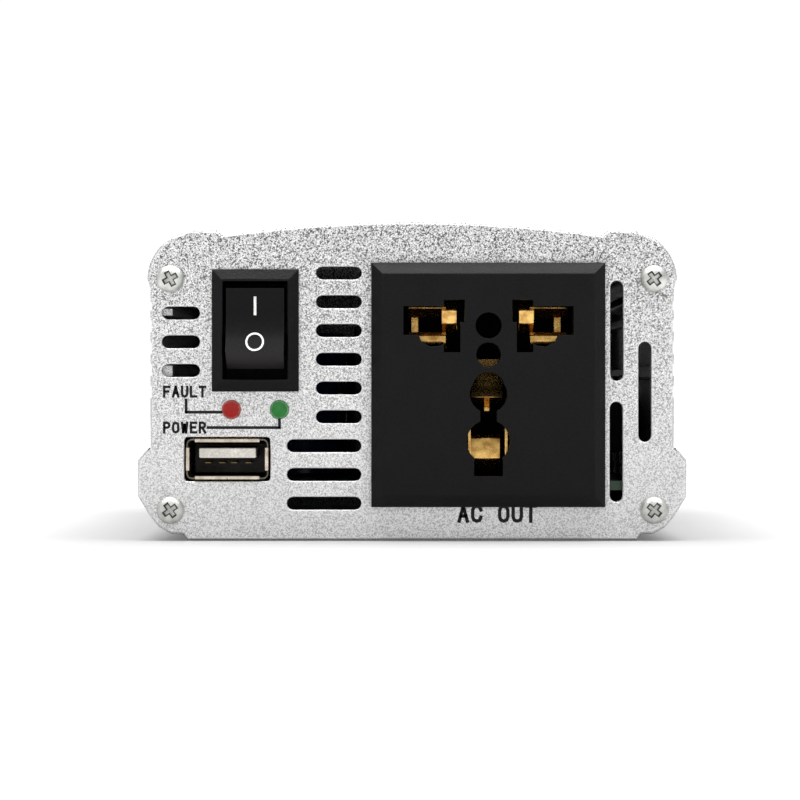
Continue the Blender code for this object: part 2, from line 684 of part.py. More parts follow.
def make_socket():
    """The universal mains socket: moulded housing, rear cover and three contacts."""
    half_x, half_z = SOCKET_FLANGE[0] / 2.0, SOCKET_FLANGE[1] / 2.0
    low = (SOCKET_X - half_x, SOCKET_FRONT, SOCKET_Z - half_z)
    high = (SOCKET_X + half_x, -PANEL_OUTER - GAP, SOCKET_Z + half_z)
    flange = box_mesh(
        low, high, SOCKET_BEVEL, keep=lambda edge: all(vert.co.y < SOCKET_FRONT + 0.01 for vert in edge.verts),
    )
    housing = place("socket_housing", flange, "black_plastic", origin=(SOCKET_X, -PANEL_OUTER, SOCKET_Z))
    half_x, half_z = SOCKET_BODY[0] / 2.0, SOCKET_BODY[1] / 2.0
    low = (SOCKET_X - half_x, -PANEL_OUTER - GAP - 0.5, SOCKET_Z - half_z)
    high = (SOCKET_X + half_x, SOCKET_BACK, SOCKET_Z + half_z)
    combine(housing, box_mesh(low, high), "UNION")
    half_x, half_z = SOCKET_HOLLOW[0] / 2.0, SOCKET_HOLLOW[1] / 2.0
    low = (SOCKET_X - half_x, SOCKET_WALL_BACK, SOCKET_Z - half_z)
    high = (SOCKET_X + half_x, SOCKET_BACK + 1.0, SOCKET_Z + half_z)
    combine(housing, box_mesh(low, high), "DIFFERENCE")
    reach = (SOCKET_FRONT - 1.0, SOCKET_WALL_BACK + 1.0)
    for opening in socket_apertures():
        combine(housing, outline_mesh([opening], reach, "XZ"), "DIFFERENCE")
    lead_holes = [circle((SOCKET_X + dx, 30.0), 1.4, 12) for dx in (-10.5, 10.5)]
    cover = [rectangle((SOCKET_X, SOCKET_Z), SOCKET_BODY)] + lead_holes
    cover = outline_mesh(cover, (SOCKET_BACK + GAP, SOCKET_BACK + 1.8), "XZ")
    place("socket_back_cover", cover, "black_plastic")
    leaf = 0.7
    front, back = SOCKET_WALL_BACK + GAP, -60.0
    clip = [
        (front, 34.5), (back, 34.5), (back, 40.8), (front, 40.8), (front, 40.8 - leaf),
        (back - leaf, 40.8 - leaf), (back - leaf, 34.5 + leaf), (front, 34.5 + leaf),
    ]
    for name, side in (("socket_live_contact", -1), ("socket_neutral_contact", 1)):
        ends = sorted((SOCKET_X + side * 7.2, SOCKET_X + side * 13.8))
        place(name, outline_mesh([clip], ends, "YZ"), "brass")
    reach = 3.6
    clip = [
        (-reach, front), (-reach + leaf, front), (-reach + leaf, back - leaf), (reach - leaf, back - leaf),
        (reach - leaf, front), (reach, front), (reach, back), (-reach, back),
    ]
    clip = [(SOCKET_X + x, y) for x, y in clip]
    place("socket_earth_contact", outline_mesh([clip], (11.6, 28.8), "XY"), "brass")


def make_board():
    """The main circuit board, notched round the socket."""
    notch_low, notch_high = SOCKET_X - 20.2, SOCKET_X + 20.2
    corners = [
        (-43.0, -72.8), (notch_low, -72.8), (notch_low, -52.5), (notch_high, -52.5), (notch_high, -72.8),
        (43.0, -72.8), (43.0, 60.0), (-43.0, 60.0),
    ]
    place("main_board", outline_mesh([corners], (BOARD_LOW, BOARD_TOP), "XY"), "board")


def make_components():
    """What stands on the board."""
    base = BOARD_TOP + GAP
    core = [rectangle((6.0, 24.5), (33.0, 27.0))]
    core += [rectangle((x, 24.5), (8.0, 18.0)) for x in (-4.6, 16.6)]
    place("transformer_core", outline_mesh(core, (-34.0, -22.0), "XZ"), "ferrite")
    coil = [rectangle((6.0, -28.0), (23.0, 22.0), 3.0), rectangle((6.0, -28.0), (13.8, 12.6))]
    place("transformer_winding", outline_mesh(coil, (16.2, 32.8), "XY"), "winding")
    for name, (x, y, radius, height) in CANS.items():
        profile = [(r * radius, base + h * height) for r, h in CAN_PROFILE]
        place(name, turned_mesh(profile, (x, y), "Z", 20), "capacitor", smooth=True)
    torus = []
    for degrees in range(330, -30, -30):
        angle = math.radians(degrees)
        torus.append((9.5 + 3.6 * math.cos(angle), base + 4.0 + 4.0 * math.sin(angle)))
    place("toroid_inductor", turned_mesh(torus + torus[:1], (-20.0, 2.0), "Z", 24), "copper", smooth=True)
    chip = box_mesh((12.0, 4.0, base), (22.0, 14.0, base + 2.4), 0.2)
    place("controller_chip", chip, "black_plastic")
    fuse_x = 14.0
    fuse = outline_mesh([rectangle((fuse_x, base + 6.2), (4.2, 6.0))], (26.0, 38.0), "XZ")
    fuse = place("input_fuse", fuse, "orange_plastic")
    combine(fuse, box_mesh((fuse_x - 1.0, 27.5, base), (fuse_x + 1.0, 36.5, base + 4.0)), "UNION")
    for number, (side, y) in enumerate(((-1, -20.0), (-1, 4.0), (1, -20.0), (1, 4.0)), 1):
        section = [
            (40.9, base + 4.0), (40.9, 29.0), (39.6, 29.0), (39.6, 24.5), (36.6, 24.5),
            (36.6, base + 4.0), (38.6, base + 4.0), (38.6, base), (39.2, base), (39.2, base + 4.0),
        ]
        section = [(side * x, z) for x, z in section]
        place(f"power_transistor_{number}", outline_mesh([section], (y, y + 10.0), "XZ"), "black_plastic")
    for name, side in (("clamp_bar_left", -1), ("clamp_bar_right", 1)):
        ends = sorted((side * 34.6, side * 36.2))
        bar = box_mesh((ends[0], -24.0, 17.0), (ends[1], 18.0, 23.0), 0.3)
        place(name, bar, "zinc")


def make_fan():
    """The cooling fan: frame with its motor mount, and the rotor on its shaft."""
    centre = (FAN_X, FAN_Z)
    walls = [rectangle(centre, (FAN_SIZE, FAN_SIZE), 2.5), circle(centre, FAN_BORE, 32)]
    walls += [circle(place_at, CHANNEL_RADIUS, 12) for place_at in fan_screw_places()]
    frame = place("fan_frame", outline_mesh(walls, (FAN_BACK, FAN_FRONT), "XZ"), "black_plastic")
    combine(frame, cylinder_mesh(centre, HUB_RADIUS, (FAN_BACK, FAN_BACK + 1.6), "Y", 24), "UNION")
    for turn in (90.0, 210.0, 330.0):
        strut = box_mesh((8.0, FAN_BACK, -1.0), (FAN_BORE + 1.0, FAN_BACK + 1.6, 1.0))
        turned = Matrix.Rotation(math.radians(turn), 4, "Y")
        strut.transform(Matrix.Translation((FAN_X * MM, 0.0, FAN_Z * MM)) @ turned)
        combine(frame, strut, "UNION")
    combine(frame, cylinder_mesh(centre, 1.3, (FAN_BACK - 1.0, FAN_BACK + 3.0), "Y", 16), "DIFFERENCE")
    outline = []
    pitch = 360.0 / BLADE_COUNT
    for blade in range(BLADE_COUNT):
        start = blade * pitch
        for radius, turn in BLADE_OUTLINE:
            angle = math.radians(start + turn)
            outline.append((FAN_X + radius * math.cos(angle), FAN_Z + radius * math.sin(angle)))
    rotor = outline_mesh([outline], (FAN_BACK + 2.2, FAN_FRONT - 0.8), "XZ")
    rotor = place("fan_rotor", rotor, "black_plastic", origin=(FAN_X, FAN_BACK, FAN_Z))
    combine(rotor, cylinder_mesh(centre, 1.0, (FAN_BACK + 0.2, FAN_BACK + 4.0), "Y", 16), "UNION")


def make_posts():
    """Battery terminals: brass stud, insulating bush, washer, screwed knob, and the inner lead."""
    looks = {"positive": "red_plastic", "negative": "black_plastic"}
    for name, x in POST_X.items():
        centre = (x, POST_Z)
        stud = [
            (0.0, STUD_END), (STUD_RADIUS - 0.3, STUD_END), (STUD_RADIUS, STUD_END - 0.4),
            (STUD_RADIUS, STUD_START), (0.0, STUD_START),
        ]
        place(f"{name}_stud", turned_mesh(stud, centre, "Y", 16), "brass", smooth=True)
        hole = STUD_RADIUS + GAP
        bush = [
            (hole, 78.2), (BUSH_RADIUS - 0.3, 78.2), (BUSH_RADIUS, 77.9), (BUSH_RADIUS, PANEL_OUTER + GAP),
            (hole + 0.7, PANEL_OUTER + GAP), (hole + 0.7, 72.0), (hole, 72.0), (hole, 78.2),
        ]
        place(f"{name}_bush", turned_mesh(bush, centre, "Y", 20), looks[name], smooth=True)
        washer = [(hole, 79.5), (4.2, 79.5), (4.2, 78.5), (hole, 78.5), (hole, 79.5)]
        place(f"{name}_washer", turned_mesh(washer, centre, "Y", 20), "brass", smooth=True)
        knob = [
            (0.0, KNOB_END), (KNOB_RADIUS - 1.0, KNOB_END), (KNOB_RADIUS, KNOB_END - 1.0), (KNOB_RADIUS, 82.4),
            (KNOB_RADIUS - 0.8, 81.4), (KNOB_RADIUS - 0.8, KNOB_START), (hole, KNOB_START),
            (hole, KNOB_END - 0.6), (0.0, KNOB_END - 0.6),
        ]
        knob = turned_mesh(knob, centre, "Y", 20)
        place(f"{name}_knob", knob, looks[name], origin=(x, KNOB_START, POST_Z), smooth=True)
        foot = BOARD_TOP + GAP
        route = [
            (x, 61.5, POST_Z), (x, 57.0, POST_Z - 0.6), (x, 53.6, POST_Z - 3.4), (x, 52.2, POST_Z - 7.2),
            (x, 52.0, foot),
        ]
        place(f"{name}_lead", wire_mesh(route, 1.4), looks[name], smooth=True)
    route = [
        (SOCKET_X - 10.5, -59.4, 30.0), (SOCKET_X - 10.5, -50.6, 30.0), (SOCKET_X - 11.8, -48.6, 27.0),
        (SOCKET_X - 12.2, -48.2, 20.0), (SOCKET_X - 12.2, -48.2, BOARD_TOP + GAP),
    ]
    place("live_lead", wire_mesh(route, 0.9), "red_plastic", smooth=True)


remove_scene_objects()
PARTS = make_collection("power_inverter")
CUTTERS = make_collection("cutters")
make_upper_housing()
make_lower_housing()
make_front_panel()
make_rear_panel()
make_screws()
make_switch()
make_lamps()
make_usb_outlet()
make_socket()
make_board()
make_components()
make_fan()
make_posts()
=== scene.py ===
import logging
import math
from dataclasses import dataclass
from enum import Enum
from typing import Callable, Sequence

import bmesh
import bpy
from mathutils import Matrix, Vector
from mathutils.bvhtree import BVHTree


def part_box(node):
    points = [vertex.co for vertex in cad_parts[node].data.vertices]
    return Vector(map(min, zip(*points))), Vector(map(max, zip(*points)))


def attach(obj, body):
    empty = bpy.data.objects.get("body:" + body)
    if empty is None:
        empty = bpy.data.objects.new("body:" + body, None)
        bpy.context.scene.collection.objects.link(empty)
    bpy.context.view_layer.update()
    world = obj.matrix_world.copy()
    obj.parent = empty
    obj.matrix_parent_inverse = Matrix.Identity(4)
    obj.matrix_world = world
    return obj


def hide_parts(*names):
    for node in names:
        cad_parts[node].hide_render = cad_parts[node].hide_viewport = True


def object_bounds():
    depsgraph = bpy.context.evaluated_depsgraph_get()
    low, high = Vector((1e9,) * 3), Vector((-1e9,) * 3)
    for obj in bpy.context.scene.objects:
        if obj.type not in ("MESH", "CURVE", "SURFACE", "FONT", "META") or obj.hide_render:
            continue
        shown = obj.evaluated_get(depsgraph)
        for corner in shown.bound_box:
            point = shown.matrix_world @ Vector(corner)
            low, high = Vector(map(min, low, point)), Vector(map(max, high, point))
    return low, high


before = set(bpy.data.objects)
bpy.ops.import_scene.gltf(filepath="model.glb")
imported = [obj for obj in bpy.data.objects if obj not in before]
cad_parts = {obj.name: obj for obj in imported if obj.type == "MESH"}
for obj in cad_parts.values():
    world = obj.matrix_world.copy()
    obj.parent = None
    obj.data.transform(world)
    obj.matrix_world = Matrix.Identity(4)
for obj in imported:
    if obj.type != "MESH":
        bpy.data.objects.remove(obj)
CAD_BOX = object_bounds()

LOG = logging.getLogger("power_inverter")
MM = 0.001
SHARP_ANGLE = math.radians(38.0)
BLUNT = 0.72
WELD = 1e-6
FLAT = 0.9999

Colour = tuple[float, float, float]
Point2 = tuple[float, float]
Material = bpy.types.Material
Mesh = bpy.types.Mesh
Socket = bpy.types.NodeSocket


# A letter's strokes as points in a cell 1 wide and 1 high.
BOWL = ((0.0, 0.5), (0.62, 0.5), (0.9, 0.58), (1.0, 0.75), (0.9, 0.92), (0.62, 1.0), (0.0, 1.0), (0.0, 0.0))
LETTERS = {
    " ": (),
    "A": (((0.0, 0.0), (0.5, 1.0)), ((0.5, 1.0), (1.0, 0.0)), ((0.26, 0.34), (0.74, 0.34))),
    "C": ((
        (1.0, 0.74), (0.86, 0.94), (0.5, 1.0), (0.14, 0.92), (0.0, 0.7),
        (0.0, 0.3), (0.14, 0.08), (0.5, 0.0), (0.86, 0.06), (1.0, 0.26),
    ),),
    "E": (((1.0, 1.0), (0.0, 1.0), (0.0, 0.0), (1.0, 0.0)), ((0.2, 0.52), (0.78, 0.52))),
    "F": (((1.0, 1.0), (0.0, 1.0), (0.0, 0.0)), ((0.2, 0.52), (0.78, 0.52))),
    "L": (((0.0, 1.0), (0.0, 0.0), (1.0, 0.0)),),
    "O": ((
        (0.5, 1.0), (0.14, 0.92), (0.0, 0.7), (0.0, 0.3), (0.14, 0.08), (0.5, 0.0),
        (0.86, 0.08), (1.0, 0.3), (1.0, 0.7), (0.86, 0.92), (0.5, 1.0),
    ),),
    "P": (BOWL,),
    "R": (BOWL, ((0.62, 0.34), (1.0, 0.0))),
    "T": (((0.0, 1.0), (1.0, 1.0)), ((0.5, 0.84), (0.5, 0.0))),
    "U": (((0.0, 1.0), (0.0, 0.28), (0.14, 0.07), (0.5, 0.0), (0.86, 0.07), (1.0, 0.28), (1.0, 1.0)),),
    "W": (
        ((0.0, 1.0), (0.22, 0.0)), ((0.22, 0.0), (0.5, 0.8)),
        ((0.5, 0.8), (0.78, 0.0)), ((0.78, 0.0), (1.0, 1.0)),
    ),
}


class Facing(Enum):
    """The way a fitting looks out of the case."""

    FRONT = -1
    REAR = 1

    @property
    def turn(self) -> Matrix:
        """Return the rotation that takes local +Z outwards."""
        return Matrix.Rotation(math.radians(-90.0 * self.value), 4, "X")


class Body(Enum):
    """The rigid bodies that the pieces ride on."""

    CASE = "case"
    ROCKER = "rocker"
    BLADE = "contact_blade"
    FAN = "fan_rotor"
    POSITIVE_WASHER = "positive_washer"
    POSITIVE_KNOB = "positive_knob"
    NEGATIVE_WASHER = "negative_washer"
    NEGATIVE_KNOB = "negative_knob"


# --------------------------------------------------------------------------------------------
# Materials
# --------------------------------------------------------------------------------------------


class Shader:
    """A material under construction: a Principled surface and the nodes that feed it."""

    def __init__(self, name: str, roughness: float, metallic: float = 0.0) -> None:
        """Start a material.

        Args:
            name: The material's name.
            roughness: The surface's roughness where nothing is linked.
            metallic: 1 for bare metal, 0 for plastics.
        """
        self.material = bpy.data.materials.new(name)
        self.material.use_nodes = True
        self.nodes = self.material.node_tree.nodes
        self.links = self.material.node_tree.links
        self.surface = self.nodes["Principled BSDF"]
        self.surface.inputs["Roughness"].default_value = roughness
        self.surface.inputs["Metallic"].default_value = metallic
        self.coordinates = self.nodes.new("ShaderNodeTexCoord").outputs["Object"]
        self.normal: Socket | None = None

    def stretched(self, scale: tuple[float, float, float]) -> Socket:
        """Return Object coordinates with each axis scaled."""
        node = self.nodes.new("ShaderNodeMapping")
        node.inputs["Scale"].default_value = scale
        self.links.new(self.coordinates, node.inputs["Vector"])
        return node.outputs["Vector"]

    def noise(self, size: float, detail: float = 2.0, vector: Socket | None = None) -> Socket:
        """Return a noise value.

        Args:
            size: The grain's size in metres.
            detail: How many finer octaves ride on it.
            vector: Coordinates, when they are not the plain Object ones.

        Returns:
            The socket with the value, about 0 to 1.
        """
        node = self.nodes.new("ShaderNodeTexNoise")
        node.inputs["Scale"].default_value = 1.0 / size
        node.inputs["Detail"].default_value = detail
        node.inputs["Roughness"].default_value = 0.6
        self.links.new(vector or self.coordinates, node.inputs["Vector"])
        return node.outputs["Fac"]

    def cells(self, size: float) -> Socket:
        """Return a random grey for each cell of the given size in metres."""
        node = self.nodes.new("ShaderNodeTexVoronoi")
        node.inputs["Scale"].default_value = 1.0 / size
        self.links.new(self.coordinates, node.inputs["Vector"])
        split = self.nodes.new("ShaderNodeSeparateColor")
        self.links.new(node.outputs["Color"], split.inputs["Color"])
        return split.outputs["Red"]

    def bands(self, size: float, axis: str, distortion: float = 0.0) -> Socket:
        """Return stripes across an axis.

        Args:
            size: The distance from one stripe to the next in metres.
            axis: X, Y or Z.
            distortion: How much the stripes wander.

        Returns:
            The socket with the value, 0 to 1.
        """
        node = self.nodes.new("ShaderNodeTexWave")
        node.bands_direction = axis
        node.inputs["Scale"].default_value = math.pi / (10.0 * size) * 2.0
        node.inputs["Distortion"].default_value = distortion
        self.links.new(self.coordinates, node.inputs["Vector"])
        return node.outputs["Fac"]

    def ramp(self, value: Socket, stops: Sequence[tuple[float, Colour]]) -> Socket:
        """Return a colour looked up from a value.

        Args:
            value: The socket to look up.
            stops: Places and colours, lowest first.

        Returns:
            The colour socket.
        """
        node = self.nodes.new("ShaderNodeValToRGB")
        elements = node.color_ramp.elements
        while len(elements) < len(stops):
            elements.new(0.5)
        for element, (place, colour) in zip(elements, stops):
            element.position = place
            element.color = (*colour, 1.0)
        self.links.new(value, node.inputs["Fac"])
        return node.outputs["Color"]

    def spread(self, value: Socket, low: float, high: float) -> Socket:
        """Return a 0-to-1 value mapped onto low to high."""
        node = self.nodes.new("ShaderNodeMapRange")
        node.inputs["From Min"].default_value = 0.25
        node.inputs["From Max"].default_value = 0.75
        node.inputs["To Min"].default_value = low
        node.inputs["To Max"].default_value = high
        self.links.new(value, node.inputs["Value"])
        return node.outputs["Result"]

    def mixed(self, factor: Socket | float, one: object, other: object, mode: str = "MIX") -> Socket:
        """Return two colours mixed.

        Args:
            factor: A socket, or a constant share of the second colour.
            one: The first colour or a socket.
            other: The second colour or a socket.
            mode: The blend mode.

        Returns:
            The colour socket.
        """
        node = self.nodes.new("ShaderNodeMix")
        node.data_type = "RGBA"
        node.blend_type = mode
        for socket, value in zip((node.inputs[0], node.inputs[6], node.inputs[7]), (factor, one, other)):
            if isinstance(value, Socket):
                self.links.new(value, socket)
            elif isinstance(value, tuple):
                socket.default_value = (*value, 1.0)
            else:
                socket.default_value = value
        return node.outputs[2]

    def edges(self, radius: float) -> Socket:
        """Return about 1 on convex edges and 0 elsewhere, for the given radius in metres."""
        bevel = self.nodes.new("ShaderNodeBevel")
        bevel.samples = 4
        bevel.inputs["Radius"].default_value = radius
        geometry = self.nodes.new("ShaderNodeNewGeometry")
        dot = self.nodes.new("ShaderNodeVectorMath")
        dot.operation = "DOT_PRODUCT"
        self.links.new(bevel.outputs["Normal"], dot.inputs[0])
        self.links.new(geometry.outputs["Normal"], dot.inputs[1])
        return self.between(dot.outputs["Value"], 0.99, 0.80)

    def between(self, value: Socket, low: float, high: float) -> Socket:
        """Return 0 where a value is at one number and 1 where it is at another."""
        node = self.nodes.new("ShaderNodeMapRange")
        node.inputs["From Min"].default_value = low
        node.inputs["From Max"].default_value = high
        self.links.new(value, node.inputs["Value"])
        return node.outputs["Result"]

    def part(self, vector: Socket, axis: str) -> Socket:
        """Return one axis of a vector."""
        split = self.nodes.new("ShaderNodeSeparateXYZ")
        self.links.new(vector, split.inputs["Vector"])
        return split.outputs[axis]

    def calculate(self, operation: str, one: Socket, other: Socket | float = 0.0) -> Socket:
        """Return one number worked out from two."""
        node = self.nodes.new("ShaderNodeMath")
        node.operation = operation
        self.links.new(one, node.inputs[0])
        if isinstance(other, Socket):
            self.links.new(other, node.inputs[1])
        else:
            node.inputs[1].default_value = other
        return node.outputs["Value"]

    def height(self, low: float, high: float) -> Socket:
        """Return 0 at one height of the object and 1 at another, in metres."""
        return self.between(self.part(self.coordinates, "Z"), low, high)

    def looks(self, axis: str, low: float, high: float) -> Socket:
        """Return 0 where the normal's part along an axis is at one number and 1 where it is at another."""
        normal = self.nodes.new("ShaderNodeNewGeometry").outputs["Normal"]
        return self.between(self.part(normal, axis), low, high)

    def sideways(self) -> Socket:
        """Return 0 where the surface looks out of the front and 1 where it looks across it."""
        return self.looks("Y", -0.92, -0.25)

    def downwards(self) -> Socket:
        """Return 0 where the surface looks up or level and 1 where it looks down."""
        return self.looks("Z", -0.2, -0.5)

    def dulled(self, base: Socket, share: float, value: Socket, stops: Sequence[Point2]) -> Socket:
        """Return a colour multiplied by greys.

        Args:
            base: The colour.
            share: How much the greys count.
            value: The socket that picks the grey.
            stops: Places and greys, lowest first.

        Returns:
            The colour socket.
        """
        greys = self.ramp(value, [(place, (grey, grey, grey)) for place, grey in stops])
        return self.mixed(share, base, greys, "MULTIPLY")

    def bump(self, value: Socket, height: float, strength: float = 1.0) -> None:
        """Raise the surface by a value; height is in metres."""
        node = self.nodes.new("ShaderNodeBump")
        node.inputs["Strength"].default_value = strength
        node.inputs["Distance"].default_value = height
        self.links.new(value, node.inputs["Height"])
        if self.normal is not None:
            self.links.new(self.normal, node.inputs["Normal"])
        self.normal = node.outputs["Normal"]

    def colour(self, socket: Socket) -> None:
        """Link the base colour."""
        self.links.new(socket, self.surface.inputs["Base Color"])

    def gloss(self, socket: Socket) -> None:
        """Link the roughness."""
        self.links.new(socket, self.surface.inputs["Roughness"])

    def done(self) -> Material:
        """Join the bumps to the surface and return the material."""
        if self.normal is not None:
            self.links.new(self.normal, self.surface.inputs["Normal"])
        return self.material


def shade(colour: Colour, factor: float) -> Colour:
    """Return a colour made lighter or darker by a factor."""
    return tuple(min(1.0, part * factor) for part in colour)


@dataclass(frozen=True)
class BlastedAluminium:
    """Sandblasted and anodised aluminium: a coarse glittering grain, painted with stronger contrast higher up
    as painted grazing light from above.
    """

    name: str
    colour: Colour
    grain: float
    dark: float
    bright: float
    roughness: float
    depth: float
    drawn: bool = False
    # Heights in metres over which the painted grazing-light contrast of the grain rises to full.
    painted_light_heights: tuple[float, float] = (0.012, 0.054)
    rim: float = 0.00025

    def make(self) -> Material:
        """Return the material."""
        shader = Shader(self.name, self.roughness, 0.85)
        coarse = shader.noise(self.grain, 1.0)
        fine = shader.noise(self.grain * 0.6, 1.0)
        speck = shader.ramp(coarse, (
            (0.39, shade(self.colour, self.dark)), (0.46, shade(self.colour, 0.80)),
            (0.51, self.colour), (0.62, shade(self.colour, self.bright)),
        ))
        grit = shader.ramp(fine, (
            (0.37, (0.12, 0.12, 0.125)), (0.47, (0.85, 0.85, 0.85)), (0.60, (1.0, 1.0, 1.0)),
        ))
        rough = shader.mixed(0.9, speck, grit, "MULTIPLY")
        softly_lit_speckle = shader.mixed(0.5, self.colour, rough)
        # Painted light: the grain shows at half contrast low on the part and full contrast above, as grazing
        # light from above would show it.
        base = shader.mixed(shader.height(self.painted_light_heights[0], self.painted_light_heights[1]), softly_lit_speckle, rough)
        haze = shader.ramp(shader.noise(0.018, 3.0), ((0.3, (0.94, 0.94, 0.95)), (0.7, (1.0, 1.0, 1.0))))
        base = shader.mixed(1.0, base, haze, "MULTIPLY")
        if self.drawn:
            streak = shader.noise(0.0004, 2.0, shader.stretched((1.0, 0.012, 1.0)))
            lines = shader.ramp(streak, ((0.3, (0.86, 0.86, 0.87)), (0.6, (1.0, 1.0, 1.0))))
            base = shader.mixed(0.7, base, lines, "MULTIPLY")
            shader.bump(streak, self.depth * 0.4)
        # Convex edges are painted lighter.
        edge_lightened = shader.mixed(shader.edges(self.rim), base, shade(self.colour, 1.06))
        shader.colour(edge_lightened)
        shader.gloss(shader.spread(fine, self.roughness - 0.10, self.roughness + 0.14))
        shader.bump(coarse, self.depth)
        shader.bump(fine, self.depth * 0.6)
        return shader.done()


@dataclass(frozen=True)
class PlatedMetal:
    """Zinc, nickel, brass or copper: bright metal with fine scratches and slight tarnish."""

    name: str
    colour: Colour
    tarnish: Colour
    roughness: float
    scratch: tuple[float, float, float] = (1.0, 1.0, 1.0)

    def make(self) -> Material:
        """Return the material."""
        shader = Shader(self.name, self.roughness, 1.0)
        cloud = shader.noise(0.0016, 4.0)
        streak = shader.noise(0.00022, 2.0, shader.stretched(self.scratch))
        base = shader.ramp(cloud, ((0.34, self.tarnish), (0.58, self.colour)))
        shader.colour(shader.dulled(base, 0.35, streak, ((0.3, 0.7), (0.6, 1.0))))
        shader.gloss(shader.spread(streak, self.roughness - 0.08, self.roughness + 0.12))
        shader.bump(streak, 0.00001)
        return shader.done()


@dataclass(frozen=True)
class Moulded:
    """Injection-moulded plastic with a fine spark-eroded grain."""

    name: str
    colour: Colour
    roughness: float
    grain: float = 0.00025
    depth: float = 0.00002
    specular: float = 0.5
    edge: float = 1.8
    under: float = 1.0

    def make(self) -> Material:
        """Return the material."""
        shader = Shader(self.name, self.roughness)
        shader.surface.inputs["Specular IOR Level"].default_value = self.specular
        grain = shader.noise(self.grain, 2.0)
        cloud = shader.noise(0.006, 3.0)
        base = shader.ramp(cloud, ((0.3, shade(self.colour, 0.86)), (0.7, shade(self.colour, 1.12))))
        specks = shader.noise(self.grain * 1.5, 1.0)
        base = shader.dulled(base, 0.6, specks, ((0.3, 0.75), (0.55, 1.0), (0.75, 1.35)))
        # Painted light: faces that look down take the colour times under, lighter than their shade would leave
        # them.
        base = shader.mixed(shader.downwards(), base, shade(self.colour, self.under))
        base = shader.mixed(shader.edges(0.0003), base, shade(self.colour, self.edge))
        shader.colour(base)
        shader.gloss(shader.spread(cloud, self.roughness - 0.05, self.roughness + 0.07))
        shader.bump(grain, self.depth)
        return shader.done()


@dataclass(frozen=True)
class LampLens:
    """Diffused epoxy of an indicator lamp, painted paler at its rim as a ring highlight."""

    name: str
    colour: Colour
    rim: Colour

    def make(self) -> Material:
        """Return the material."""
        shader = Shader(self.name, 0.34)
        shader.surface.inputs["Specular IOR Level"].default_value = 0.22
        shader.surface.inputs["Subsurface Weight"].default_value = 0.3
        shader.surface.inputs["Subsurface Radius"].default_value = (0.001, 0.0006, 0.0006)
        shader.surface.inputs["Subsurface Scale"].default_value = 0.4
        cloud = shader.noise(0.0006, 3.0)
        cloud = shader.ramp(cloud, ((0.3, shade(self.colour, 0.8)), (0.7, shade(self.colour, 1.2))))
        # Painted highlight: faces round the rim, which look across the front, take the paler rim colour.
        shader.colour(shader.mixed(shader.sideways(), cloud, self.rim))
        shader.bump(shader.noise(0.0004, 1.0), 0.00001)
        return shader.done()


@dataclass(frozen=True)
class Ink:
    """Screen-printed ink: slightly uneven, with a soft sheen."""

    name: str
    colour: Colour

    def make(self) -> Material:
        """Return the material."""
        shader = Shader(self.name, 0.55)
        shader.surface.inputs["Specular IOR Level"].default_value = 0.15
        patch = shader.noise(0.0003, 2.0)
        shader.colour(shader.ramp(patch, ((0.3, shade(self.colour, 0.8)), (0.7, shade(self.colour, 1.15)))))
        shader.bump(patch, 0.000008)
        return shader.done()


@dataclass(frozen=True)
class SolderMask:
    """Green circuit-board lacquer over copper tracks."""

    name: str
    colour: Colour
    track: Colour

    def make(self) -> Material:
        """Return the material."""
        shader = Shader(self.name, 0.35)
        cells = shader.cells(0.0035)
        lanes = shader.ramp(cells, ((0.0, self.colour), (0.62, self.colour), (0.66, self.track)))
        shader.colour(shader.dulled(lanes, 0.25, shader.noise(0.0008), ((0.3, 0.7), (0.7, 1.0))))
        shader.bump(cells, 0.00003)
        return shader.done()


@dataclass(frozen=True)
class Wound:
    """Wire or tape wound in even turns across one axis, each turn painted darker in its trough as shade
    between turns and lighter on its crest as a highlight.
    """

    name: str
    colour: Colour
    pitch: float
    axis: str
    roughness: float = 0.35
    metallic: float = 0.0

    def make(self) -> Material:
        """Return the material."""
        shader = Shader(self.name, self.roughness, self.metallic)
        turns = shader.bands(self.pitch, self.axis, 0.3)
        # Painted shade and highlight: the stripes darken where the turns meet and lighten on their crests.
        base = shader.ramp(turns, (
            (0.0, shade(self.colour, 0.45)), (0.35, self.colour), (1.0, shade(self.colour, 1.2)),
        ))
        shader.colour(shader.dulled(base, 0.4, shader.noise(0.002, 3.0), ((0.3, 0.7), (0.7, 1.0))))
        shader.bump(turns, self.pitch * 0.4)
        return shader.done()


BLACK = (0.0046, 0.0045, 0.0052)


